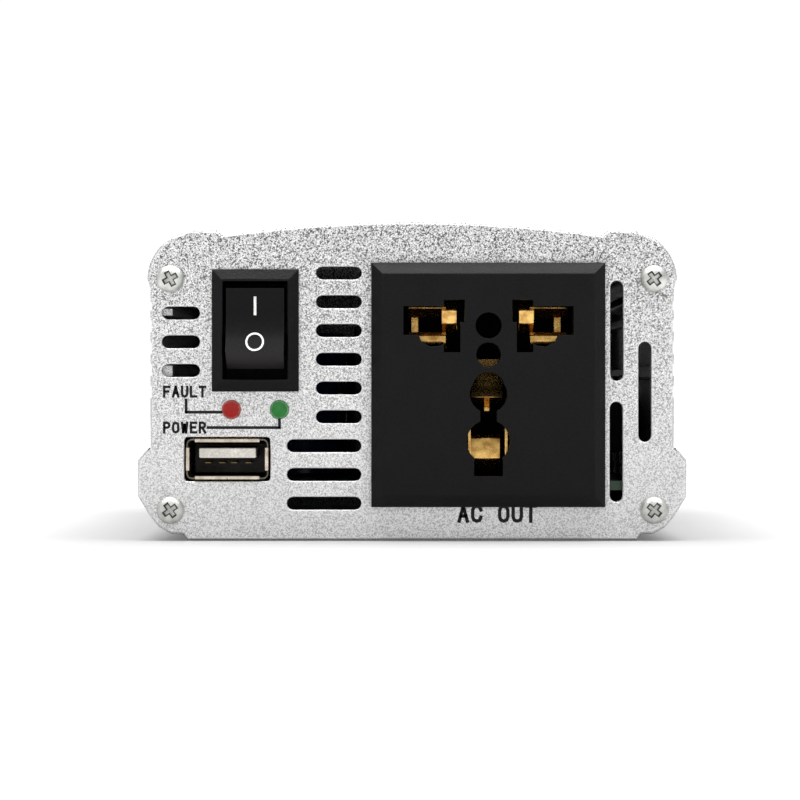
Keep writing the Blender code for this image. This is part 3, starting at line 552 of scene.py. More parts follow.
class Finishes:
    """Every finish of the object, made once."""

    def __init__(self) -> None:
        """Make the materials."""
        self.plate = BlastedAluminium(
            "blasted_plate", (0.81, 0.81, 0.805), 0.00024, 0.14, 1.22, 0.40, 0.00006, rim=0.0007,
        ).make()
        self.case = BlastedAluminium(
            "blasted_case", (0.74, 0.74, 0.745), 0.00024, 0.30, 1.25, 0.40, 0.00003, True,
        ).make()
        self.zinc = PlatedMetal("bright_zinc", (0.66, 0.67, 0.64), (0.48, 0.49, 0.46), 0.46).make()
        # Dark metal painted in the screws' recesses as shade.
        self.recess_shade_metal = PlatedMetal("recess_shadow", (0.13, 0.13, 0.12), (0.07, 0.07, 0.065), 0.5).make()
        # Nickel darkened as painted shade, for the USB sleeve inside its bright tabs.
        self.shaded_nickel = PlatedMetal("nickel_painted_shade", (0.16, 0.145, 0.12), (0.09, 0.08, 0.065), 0.40).make()
        self.nickel = PlatedMetal(
            "nickel_plate", (0.68, 0.60, 0.50), (0.44, 0.38, 0.31), 0.26, (1.0, 0.1, 1.0),
        ).make()
        self.brass = PlatedMetal(
            "stamped_brass", (0.72, 0.46, 0.15), (0.40, 0.21, 0.055), 0.24, (1.0, 0.15, 1.0),
        ).make()
        self.copper = PlatedMetal("contact_copper", (0.72, 0.34, 0.17), (0.40, 0.17, 0.08), 0.32).make()
        # Gold darkened well below its own colour: painted shade for contacts deep in the USB port.
        self.gold_in_painted_shade = PlatedMetal("contact_gold", (0.30, 0.21, 0.08), (0.18, 0.12, 0.05), 0.35).make()
        self.socket = Moulded("socket_black", BLACK, 0.42, 0.00034, 0.00009, 0.11).make()
        # The rocker's downward faces are painted seven times lighter: painted light.
        self.rocker = Moulded(
            "rocker_black", (0.0048, 0.0044, 0.0044), 0.50, 0.00028, 0.00004, 0.09, under=7.0,
        ).make()
        self.cover = Moulded("cover_black", shade(BLACK, 0.5), 0.6, specular=0.05).make()
        self.fan = Moulded("fan_black", (0.014, 0.014, 0.015), 0.36).make()
        self.epoxy = Moulded("chip_epoxy", (0.020, 0.020, 0.022), 0.6).make()
        self.tongue = Moulded("tongue_white", (0.78, 0.75, 0.68), 0.38, edge=1.2).make()
        # A dark copy of the tongue's white plastic: painted shade at the back of the USB port.
        self.shaded = Moulded("tongue_painted_shade", (0.030, 0.024, 0.018), 0.5, edge=1.2).make()
        self.red = Moulded("terminal_red", (0.42, 0.014, 0.012), 0.30, edge=1.35).make()
        self.black = Moulded("terminal_black", (0.016, 0.016, 0.017), 0.30).make()
        self.orange = Moulded("fuse_orange", (0.70, 0.22, 0.02), 0.22, edge=1.2).make()
        # Each lens's second colour is its painted rim highlight.
        self.red_lens = LampLens("lens_red", (0.30, 0.009, 0.006), (0.52, 0.07, 0.055)).make()
        self.green_lens = LampLens("lens_green", (0.022, 0.17, 0.034), (0.11, 0.36, 0.14)).make()
        self.ink = Ink("legend_ink", (0.012, 0.012, 0.013)).make()
        self.white_ink = Ink("symbol_white", (0.80, 0.80, 0.78)).make()
        self.board = SolderMask("solder_mask", (0.005, 0.040, 0.014), (0.014, 0.095, 0.034)).make()
        self.ferrite = Moulded("ferrite_grey", (0.030, 0.030, 0.034), 0.6, 0.0005, 0.00005).make()
        self.tape = Wound("winding_tape", (0.62, 0.45, 0.05), 0.0042, "Z", 0.3).make()
        self.enamel = Wound("enamelled_wire", (0.50, 0.17, 0.05), 0.0011, "X", 0.25, 0.6).make()
        self.sleeve = Moulded("capacitor_sleeve", (0.012, 0.020, 0.080), 0.25, edge=1.3).make()


# --------------------------------------------------------------------------------------------
# Mesh tools
# --------------------------------------------------------------------------------------------


def mesh_from(build: Callable[[bmesh.types.BMesh], None], smooth: bool = True) -> Mesh:
    """Return a mesh filled by a function.

    Args:
        build: Adds geometry, in metres, to the bmesh it is given.
        smooth: Whether round faces are shaded smooth.

    Returns:
        The mesh, its normals outwards.
    """
    bm = bmesh.new()
    build(bm)
    bmesh.ops.recalc_face_normals(bm, faces=bm.faces)
    mesh = bpy.data.meshes.new("shape")
    bm.to_mesh(mesh)
    bm.free()
    if smooth:
        soften(mesh)
    return mesh


def soften(mesh: Mesh, angle: float = SHARP_ANGLE) -> None:
    """Shade a mesh smooth except at its real edges."""
    mesh.shade_smooth()
    mesh.set_sharp_from_angle(angle=angle)


def evaluated(item: bpy.types.Object) -> Mesh:
    """Return an object's mesh with its modifiers applied, and remove the object."""
    bpy.context.view_layer.update()
    graph = bpy.context.evaluated_depsgraph_get()
    mesh = bpy.data.meshes.new_from_object(item.evaluated_get(graph))
    bpy.data.objects.remove(item)
    return mesh


def holder(mesh: Mesh) -> bpy.types.Object:
    """Return a temporary object that holds a mesh."""
    item = bpy.data.objects.new("holder", mesh)
    bpy.context.scene.collection.objects.link(item)
    return item


def rounded(mesh: Mesh, width: float, segments: int = 2, angle: float = 28.0) -> Mesh:
    """Return a mesh with its edges rounded.

    Args:
        mesh: A closed, welded mesh.
        width: The rounding in metres.
        segments: Faces across it.
        angle: Only edges sharper than this, in degrees.

    Returns:
        The rounded mesh.
    """
    mesh.materials.clear()
    mesh.materials.append(None)
    mesh.materials.append(None)
    item = holder(mesh)
    bevel = item.modifiers.new("edge", "BEVEL")
    bevel.width = width
    bevel.segments = segments
    bevel.limit_method = "ANGLE"
    bevel.angle_limit = math.radians(angle)
    bevel.miter_outer = "MITER_ARC"
    bevel.material = 1
    result = evaluated(item)
    soften(result)
    crisp(result, lambda face: face.material_index == 0)
    return result


def crisp(mesh: Mesh, is_flat: Callable[[bmesh.types.BMFace], bool]) -> None:
    """Keep a mesh's flat faces flat where they meet a rounded edge.

    Args:
        mesh: The mesh, which also loses its material numbers.
        is_flat: Tells a flat face from a rounded one.
    """
    bm = bmesh.new()
    bm.from_mesh(mesh)
    for edge in bm.edges:
        kinds = {is_flat(face) for face in edge.link_faces}
        if len(kinds) > 1:
            edge.smooth = False
    for face in bm.faces:
        face.material_index = 0
    bm.to_mesh(mesh)
    bm.free()


def node_copy(node: str) -> Mesh:
    """Return a welded copy of a CAD node's mesh, its flat faces made whole."""
    bm = bmesh.new()
    bm.from_mesh(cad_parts[node].data)
    bmesh.ops.remove_doubles(bm, verts=bm.verts, dist=WELD)
    bmesh.ops.dissolve_limit(bm, angle_limit=math.radians(0.4), verts=bm.verts, edges=bm.edges)
    mesh = bpy.data.meshes.new(node)
    bm.to_mesh(mesh)
    bm.free()
    mesh.materials.clear()
    return mesh


def span(node: str) -> tuple[Vector, Vector]:
    """Return a CAD node's lowest and highest corners."""
    low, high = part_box(node)
    return Vector(low), Vector(high)


def middle(node: str) -> Vector:
    """Return the centre of a CAD node's box."""
    low, high = span(node)
    return (low + high) / 2.0


def turned(profile: Sequence[Point2], segments: int = 48) -> Mesh:
    """Return a shape turned about Z.

    Args:
        profile: Radius and height in metres, from one pole or edge to the other; closed when the
            first point is repeated.
        segments: Faces round the axis.

    Returns:
        The mesh.
    """

    def build(bm: bmesh.types.BMesh) -> None:
        """Spin the profile."""
        verts = [bm.verts.new((radius, 0.0, height)) for radius, height in profile]
        edges = [bm.edges.new(pair) for pair in zip(verts, verts[1:])]
        bmesh.ops.spin(
            bm, geom=verts + edges, axis=(0.0, 0.0, 1.0), cent=(0.0, 0.0, 0.0),
            steps=segments, angle=math.tau, use_merge=True,
        )
        bmesh.ops.remove_doubles(bm, verts=bm.verts, dist=WELD)

    return mesh_from(build)


def block(low: Sequence[float], high: Sequence[float]) -> Mesh:
    """Return a box between two corners in metres."""

    def build(bm: bmesh.types.BMesh) -> None:
        """Add the box."""
        size = Vector(high) - Vector(low)
        centre = (Vector(high) + Vector(low)) / 2.0
        bmesh.ops.create_cube(bm, size=1.0, matrix=Matrix.Translation(centre) @ Matrix.Diagonal((*size, 1.0)))

    return mesh_from(build)


def joined(meshes: Sequence[Mesh]) -> Mesh:
    """Return several meshes as one, keeping their shading and their first materials."""
    result = bpy.data.meshes.new("joined")
    bm = bmesh.new()
    for index, mesh in enumerate(meshes):
        start = len(bm.faces)
        bm.from_mesh(mesh)
        bm.faces.ensure_lookup_table()
        for face in bm.faces[start:]:
            face.material_index = index
        result.materials.append(mesh.materials[0] if mesh.materials else None)
    bm.to_mesh(result)
    bm.free()
    return result


def outline(contours: Sequence[Sequence[Point2]], thickness: float, edge: float = 0.0) -> Mesh:
    """Return a flat outline with holes in XY, thickness along Z about 0.

    Args:
        contours: The outer ring and any holes, in metres.
        thickness: The plate's thickness.
        edge: The rounding of its edges, holes included.

    Returns:
        The welded mesh.
    """
    curve = bpy.data.curves.new("outline", "CURVE")
    curve.dimensions = "2D"
    curve.fill_mode = "BOTH"
    curve.extrude = thickness / 2.0 - edge
    curve.bevel_depth = edge
    curve.bevel_resolution = 2
    curve.offset = -edge
    for contour in contours:
        spline = curve.splines.new("POLY")
        spline.points.add(len(contour) - 1)
        for point, (u, v) in zip(spline.points, contour):
            point.co = (u, v, 0.0, 1.0)
        spline.use_cyclic_u = True
    mesh = welded(evaluated(holder(curve)))
    soften(mesh)
    crisp(mesh, lambda face: abs(face.normal.z) > FLAT)
    return mesh


def welded(mesh: Mesh) -> Mesh:
    """Close a mesh's seams and turn its faces outwards."""
    bm = bmesh.new()
    bm.from_mesh(mesh)
    bmesh.ops.remove_doubles(bm, verts=bm.verts, dist=WELD)
    bmesh.ops.recalc_face_normals(bm, faces=bm.faces)
    bm.to_mesh(mesh)
    bm.free()
    return mesh


def cap_rings(node: str, depth: float) -> list[list[Point2]]:
    """Return the outlines of a CAD node's flat face at one depth.

    Args:
        node: The CAD node.
        depth: The face's Y.

    Returns:
        Rings of X and Z, the outer one first; each keeps the material on its left.
    """
    bm = bmesh.new()
    bm.from_mesh(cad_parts[node].data)
    bmesh.ops.remove_doubles(bm, verts=bm.verts, dist=WELD)
    aside = [face for face in bm.faces if any(abs(vert.co.y - depth) > WELD for vert in face.verts)]
    bmesh.ops.delete(bm, geom=aside, context="FACES")
    after = {}
    for edge in bm.edges:
        if edge.is_boundary:
            loop = edge.link_loops[0]
            after[loop.vert] = loop.link_loop_next.vert
    rings = []
    while after:
        first, place = after.popitem()
        ring = [(first.co.x, first.co.z)]
        while place in after:
            ring.append((place.co.x, place.co.z))
            place = after.pop(place)
        rings.append(ring)
    bm.free()
    return sorted(rings, key=lambda ring: min(ring))


def grown(ring: Sequence[Point2], distance: float) -> list[Point2]:
    """Return a ring moved off its material by a distance, or into it where that is negative."""
    moved = []
    for before, here, after in zip([ring[-1], *ring[:-1]], ring, [*ring[1:], ring[0]]):
        one = Vector((here[1] - before[1], before[0] - here[0])).normalized()
        other = Vector((after[1] - here[1], here[0] - after[0])).normalized()
        mitre = (one + other) / (1.0 + one.dot(other))
        moved.append((here[0] + mitre.x * distance, here[1] + mitre.y * distance))
    return moved


def wall(
    bm: bmesh.types.BMesh, ring: Sequence[Point2], steps: Sequence[Point2], face: float,
) -> tuple[list, list]:
    """Build the wall of one outline of a part that goes back from a front face.

    Args:
        bm: Where the wall goes.
        ring: The outline as X and Z.
        steps: How far the wall stands off the outline, and how deep it is there, front to back.
        face: The front face's Y.

    Returns:
        The wall's front edges and its back edges.
    """
    levels = [[bm.verts.new((x, face + depth, z)) for x, z in grown(ring, out)] for out, depth in steps]
    for one, other in zip(levels, levels[1:]):
        for i in range(len(one)):
            bm.faces.new((one[i - 1], one[i], other[i], other[i - 1]))
    return tuple(
        [bm.edges.get((level[i - 1], level[i])) for i in range(len(level))]
        for level in (levels[0], levels[-1])
    )


def course(y: float, z: float, *steps: Point2) -> list[Point2]:
    """Return points as Y and Z, each given in millimetres from one place."""
    return [(y + back * MM, z + up * MM) for back, up in steps]


def arc(centre: Point2, radius: float, start: float, end: float, steps: int) -> list[Point2]:
    """Return points on an arc, angles in degrees, both ends included."""
    turn = [math.radians(start + (end - start) * i / steps) for i in range(steps + 1)]
    return [(centre[0] + radius * math.cos(a), centre[1] + radius * math.sin(a)) for a in turn]


def ribbon(points: Sequence[Point2], width: float, thickness: float) -> Mesh:
    """Return a printed stroke of even width in XY.

    Args:
        points: The stroke's middle line; it is closed where the last point is the first.
        width: The stroke's width.
        thickness: The ink's thickness.

    Returns:
        The mesh, its back at height 0.
    """
    closed = points[0] == points[-1]
    line = list(points[:-1]) if closed else list(points)
    ends = (line[-1], line[0]) if closed else (line[0], line[-1])

    def build(bm: bmesh.types.BMesh) -> None:
        """Add the stroke's two sides, then its faces."""
        sides = []
        for before, here, after in zip([ends[0], *line[:-1]], line, [*line[1:], ends[1]]):
            one = Vector((here[0] - before[0], here[1] - before[1])).normalized()
            other = Vector((after[0] - here[0], after[1] - here[1])).normalized()
            along = (one + other).normalized()
            reach = 0.5 * width / max(along.dot(one if one.length else other), BLUNT)
            step = Vector((-along.y, along.x)) * reach
            tail = (along * (0.5 * width * (int(not other.length) - int(not one.length))))
            sides.append([
                bm.verts.new((here[0] + tail.x + sign * step.x, here[1] + tail.y + sign * step.y, height))
                for sign, height in ((-1.0, 0.0), (1.0, 0.0), (1.0, thickness), (-1.0, thickness))
            ])
        for i in range(0 if closed else 1, len(sides)):
            for j in range(4):
                bm.faces.new((sides[i - 1][j - 1], sides[i - 1][j], sides[i][j], sides[i][j - 1]))
        if not closed:
            bm.faces.new(sides[0])
            bm.faces.new(sides[-1])

    return mesh_from(build, False)


def at_front(mesh: Mesh, depth: float) -> Mesh:
    """Turn a mesh drawn in XY so that X stays, Y points up and Z looks out of the front, at y = depth."""
    mesh.transform(Matrix.Translation((0.0, depth, 0.0)) @ Matrix.Rotation(math.radians(90.0), 4, "X"))
    return mesh


def piece(
    name: str,
    mesh: Mesh,
    look: Material | None,
    body: Body,
    stands_for: Sequence[str] = (),
) -> bpy.types.Object:
    """Place a finished mesh in the scene.

    Args:
        name: The piece's name.
        mesh: Its mesh, in the frame's coordinates.
        look: Its material, or None where the mesh has its own.
        body: The body it rides on.
        stands_for: The CAD nodes it replaces.

    Returns:
        The object.
    """
    if look is not None:
        mesh.materials.clear()
        mesh.materials.append(look)
    mesh.name = name
    item = bpy.data.objects.new(name, mesh)
    bpy.context.scene.collection.objects.link(item)
    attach(item, body.value)
    if stands_for:
        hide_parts(*stands_for)
    LOG.info("%s: %d faces", name, len(mesh.polygons))
    return item


def dress(node: str, look: Material) -> None:
    """Give a CAD node a material."""
    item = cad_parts[node]
    item.data.materials.clear()
    item.data.materials.append(look)
    LOG.info("%s: dressed", node)


# --------------------------------------------------------------------------------------------
# Geometry Nodes
# --------------------------------------------------------------------------------------------


class Tree:
    """A Geometry Nodes tree under construction, with named sizes as its inputs."""

    def __init__(self, name: str) -> None:
        """Start a tree that takes and gives a geometry."""
        self.group = bpy.data.node_groups.new(name, "GeometryNodeTree")
        self.group.interface.new_socket("Geometry", in_out="INPUT", socket_type="NodeSocketGeometry")
        self.group.interface.new_socket("Geometry", in_out="OUTPUT", socket_type="NodeSocketGeometry")
        self.source = self.group.nodes.new("NodeGroupInput")
        self.sink = self.group.nodes.new("NodeGroupOutput")
        self.identifiers: dict[str, str] = {}

    @property
    def geometry(self) -> Socket:
        """Return the geometry that the modifier is given."""
        return self.source.outputs["Geometry"]

    def size(self, name: str) -> Socket:
        """Add a named number input and return its socket."""
        item = self.group.interface.new_socket(name, in_out="INPUT", socket_type="NodeSocketFloat")
        self.identifiers[name] = item.identifier
        return self.source.outputs[name]

    def add(
        self, kind: str, inputs: dict[object, object] | None = None, **settings: object,
    ) -> bpy.types.Node:
        """Add a node.

        Args:
            kind: The node's type name.
            inputs: For each input's name or number, a socket to link or a value.
            **settings: The node's own properties.

        Returns:
            The node.
        """
        node = self.group.nodes.new(kind)
        for key, value in settings.items():
            setattr(node, key, value)
        for key, value in (inputs or {}).items():
            if isinstance(value, (list, tuple)) and value and isinstance(value[0], Socket):
                for part in value:
                    self.group.links.new(part, node.inputs[key])
            elif isinstance(value, Socket):
                self.group.links.new(value, node.inputs[key])
            else:
                node.inputs[key].default_value = value
        return node

    def calculate(self, operation: str, one: object, other: object = 0.0) -> Socket:
        """Return one number worked out from two."""
        return self.add("ShaderNodeMath", {0: one, 1: other}, operation=operation).outputs[0]

    def vector(self, x: object = 0.0, y: object = 0.0, z: object = 0.0) -> Socket:
        """Return a vector made from three numbers or sockets."""
        return self.add("ShaderNodeCombineXYZ", {0: x, 1: y, 2: z}).outputs[0]

    def joined(self, *parts: Socket) -> Socket:
        """Return several geometries as one."""
        return self.add("GeometryNodeJoinGeometry", {"Geometry": list(parts)}).outputs["Geometry"]

    def moved(self, part: Socket, **inputs: object) -> Socket:
        """Return a geometry transformed; inputs are Translation, Rotation and Scale."""
        return self.add("GeometryNodeTransform", {"Geometry": part, **inputs}).outputs["Geometry"]

    def on_points(self, part: Socket, rotation: object) -> Socket:
        """Return a copy of a geometry on each given point."""
        inputs = {"Points": self.geometry, "Instance": part, "Rotation": rotation}
        return self.add("GeometryNodeInstanceOnPoints", inputs).outputs["Instances"]

    def facing(self) -> Socket:
        """Return each point's own rotation, which named_points stored."""
        node = self.add("GeometryNodeInputNamedAttribute", {"Name": "facing"}, data_type="FLOAT_VECTOR")
        return node.outputs["Attribute"]

    def painted(self, part: Socket, look: Material) -> Socket:
        """Return a geometry given a material."""
        return self.add("GeometryNodeSetMaterial", {"Geometry": part, "Material": look}).outputs["Geometry"]

    def finish(self, part: Socket) -> None:
        """End the tree with real geometry."""
        real = self.add("GeometryNodeRealizeInstances", {"Geometry": part}).outputs["Geometry"]
        self.group.links.new(real, self.sink.inputs["Geometry"])

    def grow(self, base: Mesh, sizes: dict[str, float]) -> Mesh:
        """Run the tree on a mesh.

        Args:
            base: The mesh that the modifier is given.
            sizes: A value for each named input.

        Returns:
            The plain mesh that results.
        """
        item = holder(base)
        modifier = item.modifiers.new(self.group.name, "NODES")
        modifier.node_group = self.group
        for name, value in sizes.items():
            modifier[self.identifiers[name]] = value
        mesh = evaluated(item)
        soften(mesh)
        return mesh


def named_points(places: Sequence[Vector], turns: Sequence[Matrix]) -> Mesh:
    """Return loose points, each with its rotation stored as the attribute facing."""
    mesh = bpy.data.meshes.new("points")
    mesh.from_pydata([tuple(place) for place in places], [], [])
    facing = mesh.attributes.new("facing", "FLOAT_VECTOR", "POINT")
    for entry, turn in zip(facing.data, turns):
        entry.vector = tuple(turn.to_euler())
    return mesh


def screw_tree(look: Material, recess_shade_metal: Material) -> Tree:
    """Return the tree of a pan-head cross-recessed screw, copied onto every point.

    Args:
        look: The screw's metal.
        recess_shade_metal: Dark metal for the recess's shoulders: painted shade.

    Returns:
        The tree, with inputs Head Radius, Head Height, Recess Width, Recess Depth, Shank Radius
        and Shank Length.
    """
    tree = Tree("cross_recessed_screws")
    radius, height = tree.size("Head Radius"), tree.size("Head Height")
    width, depth = tree.size("Recess Width"), tree.size("Recess Depth")
    shank, length = tree.size("Shank Radius"), tree.size("Shank Length")
    ball = tree.add("GeometryNodeMeshUVSphere", {"Segments": 40, "Rings": 24, "Radius": 1.0}).outputs["Mesh"]
    dome = tree.painted(tree.moved(ball, Scale=tree.vector(radius, radius, height)), look)
    base_cut = tree.add("GeometryNodeMeshCube", {"Size": (0.02, 0.02, 0.02)}).outputs["Mesh"]
    base_cut = tree.moved(base_cut, Translation=(0.0, 0.0, -0.01))
    recess_length = tree.calculate("MULTIPLY", radius, 1.16)
    top = tree.calculate("MULTIPLY", height, 2.0)
    arms = []
    # The outer cross takes grime, painted shade on the recess's walls; the inner cross keeps the bright metal.
    for share, sink, paint in ((1.0, 0.72, recess_shade_metal), (0.56, 1.0, look)):
        narrow = tree.calculate("MULTIPLY", width, share)
        long = tree.calculate("MULTIPLY", recess_length, 0.5 + 0.5 * share)
        lift = tree.calculate("SUBTRACT", top, tree.calculate("MULTIPLY", depth, sink))
        for x, y in ((long, narrow), (narrow, long)):
            arm = tree.add("GeometryNodeMeshCube", {"Size": tree.vector(x, y, top)}).outputs["Mesh"]
            arms.append(tree.painted(tree.moved(arm, Translation=tree.vector(0.0, 0.0, lift)), paint))
    pit = tree.add("GeometryNodeMeshCone", {
        "Vertices": 16, "Radius Top": tree.calculate("MULTIPLY", radius, 0.34),
        "Radius Bottom": 0.0001, "Depth": tree.calculate("MULTIPLY", height, 0.95),
    }).outputs["Mesh"]
    pit = tree.moved(pit, Translation=tree.vector(0.0, 0.0, tree.calculate("MULTIPLY", height, 0.12)))
    cut = {"Mesh 1": dome, "Mesh 2": [base_cut, *arms, pit]}
    head = tree.add("GeometryNodeMeshBoolean", cut, operation="DIFFERENCE", solver="EXACT").outputs["Mesh"]
    rod = tree.add("GeometryNodeMeshCylinder", {"Vertices": 20, "Radius": shank, "Depth": length})
    sunk = tree.calculate("SUBTRACT", tree.calculate("MULTIPLY", length, -0.5), 0.00002)
    rod = tree.moved(rod.outputs["Mesh"], Translation=tree.vector(0.0, 0.0, sunk))
    rod = tree.painted(rod, look)
    copies = tree.on_points(tree.joined(head, rod), tree.facing())
    tree.finish(copies)
    return tree


@dataclass
class Fasteners:
    """A set of pan-head screws that hold one panel or the fan."""

    name: str
    nodes: Sequence[str]
    facing: Facing
    turns: Sequence[float]
    recess_width: float = 1.0 * MM
    recess_depth: float = 1.1 * MM
    shank_radius: float = 1.35 * MM

    def build(self, finishes: Finishes) -> None:
        """Make the screws where their CAD nodes are."""
        places, matrices = [], []
        reach, face = 0.0, 0.0
        radius = 0.0
        for node, turn in zip(self.nodes, self.turns):
            low, high = span(node)
            radius = (high.x - low.x) / 2.0
            outer = low.y if self.facing is Facing.FRONT else high.y
            reach = high.y - low.y
            centre = (low + high) / 2.0
            face = outer - self.facing.value * 1.5 * MM
            places.append(Vector((centre.x, face, centre.z)))
            matrices.append(self.facing.turn @ Matrix.Rotation(math.radians(turn), 4, "Z"))
        tree = screw_tree(finishes.zinc, finishes.recess_shade_metal)
        mesh = tree.grow(named_points(places, matrices), {
            "Head Radius": radius, "Head Height": 1.5 * MM, "Recess Width": self.recess_width,
            "Recess Depth": self.recess_depth, "Shank Radius": self.shank_radius,
            "Shank Length": reach - 1.6 * MM,
        })
        piece(self.name, mesh, None, Body.CASE, self.nodes)


# --------------------------------------------------------------------------------------------
# Case and panels
# --------------------------------------------------------------------------------------------


@dataclass
class Case:
    """The two extrusions and the two end panels."""

    panel_edge: float = 0.22 * MM
    case_edge: float = 0.18 * MM
    lamp_fit: float = 0.84

    def build(self, finishes: Finishes) -> None:
        """Make the extrusions and the panels with their edges rounded."""
        for node, name in (("upper_housing", "upper_extrusion"), ("lower_housing", "lower_extrusion")):
            mesh = rounded(node_copy(node), self.case_edge, 2, 24.0)
            piece(name, mesh, finishes.case, Body.CASE, (node,))
        for node, name in (("front_panel", "front_plate"), ("rear_panel", "rear_plate")):
            low, high = span(node)
            rings = [self.fitted(ring) for ring in cap_rings(node, low.y)]
            mesh = outline(rings, high.y - low.y, self.panel_edge)
            at_front(mesh, (low.y + high.y) / 2.0)
            piece(name, mesh, finishes.plate, Body.CASE, (node,))


    def fitted(self, ring: list[Point2]) -> list[Point2]:
        """Return a hole closed onto its lamp where it is a lamp's hole, or else as it is."""
        for node in ("fault_led", "power_led"):
            centre = middle(node)
            if all(math.hypot(x - centre.x, z - centre.z) < 3.0 * MM for x, z in ring):
                fit = self.lamp_fit
                return [(centre.x + (x - centre.x) * fit, centre.z + (z - centre.z) * fit) for x, z in ring]
        return ring


@dataclass
class Legends:
    """Printed function words, leader lines and terminal signs."""

    ink_thickness: float = 0.02 * MM
    line_width: float = 0.5 * MM
    sign_height: float = 9.5 * MM
    sign_half: tuple[float, float] = (1.9 * MM, 0.35 * MM)
    stroke: float = 0.43 * MM
    heavy: float = 0.6 * MM
    small: tuple[float, float, float] = (1.54 * MM, 1.32 * MM, 2.08 * MM)
    large: tuple[float, float, float] = (2.33 * MM, 2.02 * MM, 3.2 * MM)

    def build(self, finishes: Finishes) -> None:
        """Print the front panel and the rear panel."""
        panel_low = span("front_panel")[0]
        left = panel_low.x + 4.15 * MM
        fault, power = middle("fault_led"), middle("power_led")
        lamp_radius = (span("fault_led")[1].x - span("fault_led")[0].x) / 2.0
        upper = fault.z + 2.05 * MM
        lower = fault.z - 4.15 * MM
        right = left + 5.0 * self.small[0]
        socket_left = middle("socket_housing").x - 5.3 * MM
        socket_base = span("socket_housing")[0].z - 2.75 * MM
        meshes = [
            *self.word("FAULT", left, upper, self.small, self.stroke),
            *self.word("POWER", left, lower, self.small, self.stroke),
            *self.word("AC OUT", socket_left, socket_base, self.large, self.heavy),
        ]
        drop = left + 4.0 * MM
        level = fault.z - 0.45 * MM
        meshes.append(self.line((drop, upper - 0.4 * MM), (drop, level)))
        meshes.append(self.line((drop, level), (fault.x - lamp_radius, level)))
        row = lower + self.small[2] / 2.0
        meshes.append(self.line((right + 0.1 * MM, row), (power.x, row)))
        meshes.append(self.line((power.x, row), (power.x, power.z - lamp_radius)))
        mesh = at_front(joined(meshes), panel_low.y)
        piece("front_legends", mesh, finishes.ink, Body.CASE)
        self.signs(finishes)

    def word(
        self, text: str, left: float, base: float, cell: tuple[float, float, float], stroke: float,
    ) -> list[Mesh]:
        """Return a word's strokes, each letter in a cell of the same width.

        Args:
            text: The word.
            left: The first cell's left side.
            base: The letters' foot.
            cell: The cell's pitch, and a letter's width and height.
            stroke: The strokes' width.

        Returns:
            One mesh for each stroke.
        """
        pitch, width, height = cell[0], cell[1] - stroke, cell[2] - stroke
        strokes = []
        for number, letter in enumerate(text):
            corner = left + number * pitch + stroke / 2.0, base + stroke / 2.0
            for line in LETTERS[letter]:
                points = [(corner[0] + u * width, corner[1] + v * height) for u, v in line]
                strokes.append(ribbon(points, stroke, self.ink_thickness))
        return strokes

    def line(self, start: Point2, end: Point2) -> Mesh:
        """Return a printed line along X or up, as a thin box in XY."""
        half = self.line_width / 2.0
        low = (min(start[0], end[0]) - half, min(start[1], end[1]) - half, 0.0)
        high = (max(start[0], end[0]) + half, max(start[1], end[1]) + half, self.ink_thickness)
        return block(low, high)

    def signs(self, finishes: Finishes) -> None:
        """Print a plus and a minus above the battery terminals."""
        face = span("rear_panel")[1].y
        for name in ("positive", "negative"):
            centre = middle(f"{name}_bush")
            height = centre.z + self.sign_height
            half, thin = self.sign_half
            shapes = [(half, thin)]
            if name == "positive":
                shapes.append((thin, half))
            bars = [
                block((centre.x - x, face, height - z), (centre.x + x, face + self.ink_thickness, height + z))
                for x, z in shapes
            ]
            piece(f"{name}_sign", joined(bars), finishes.ink, Body.CASE)


# --------------------------------------------------------------------------------------------
# Front fittings
# --------------------------------------------------------------------------------------------


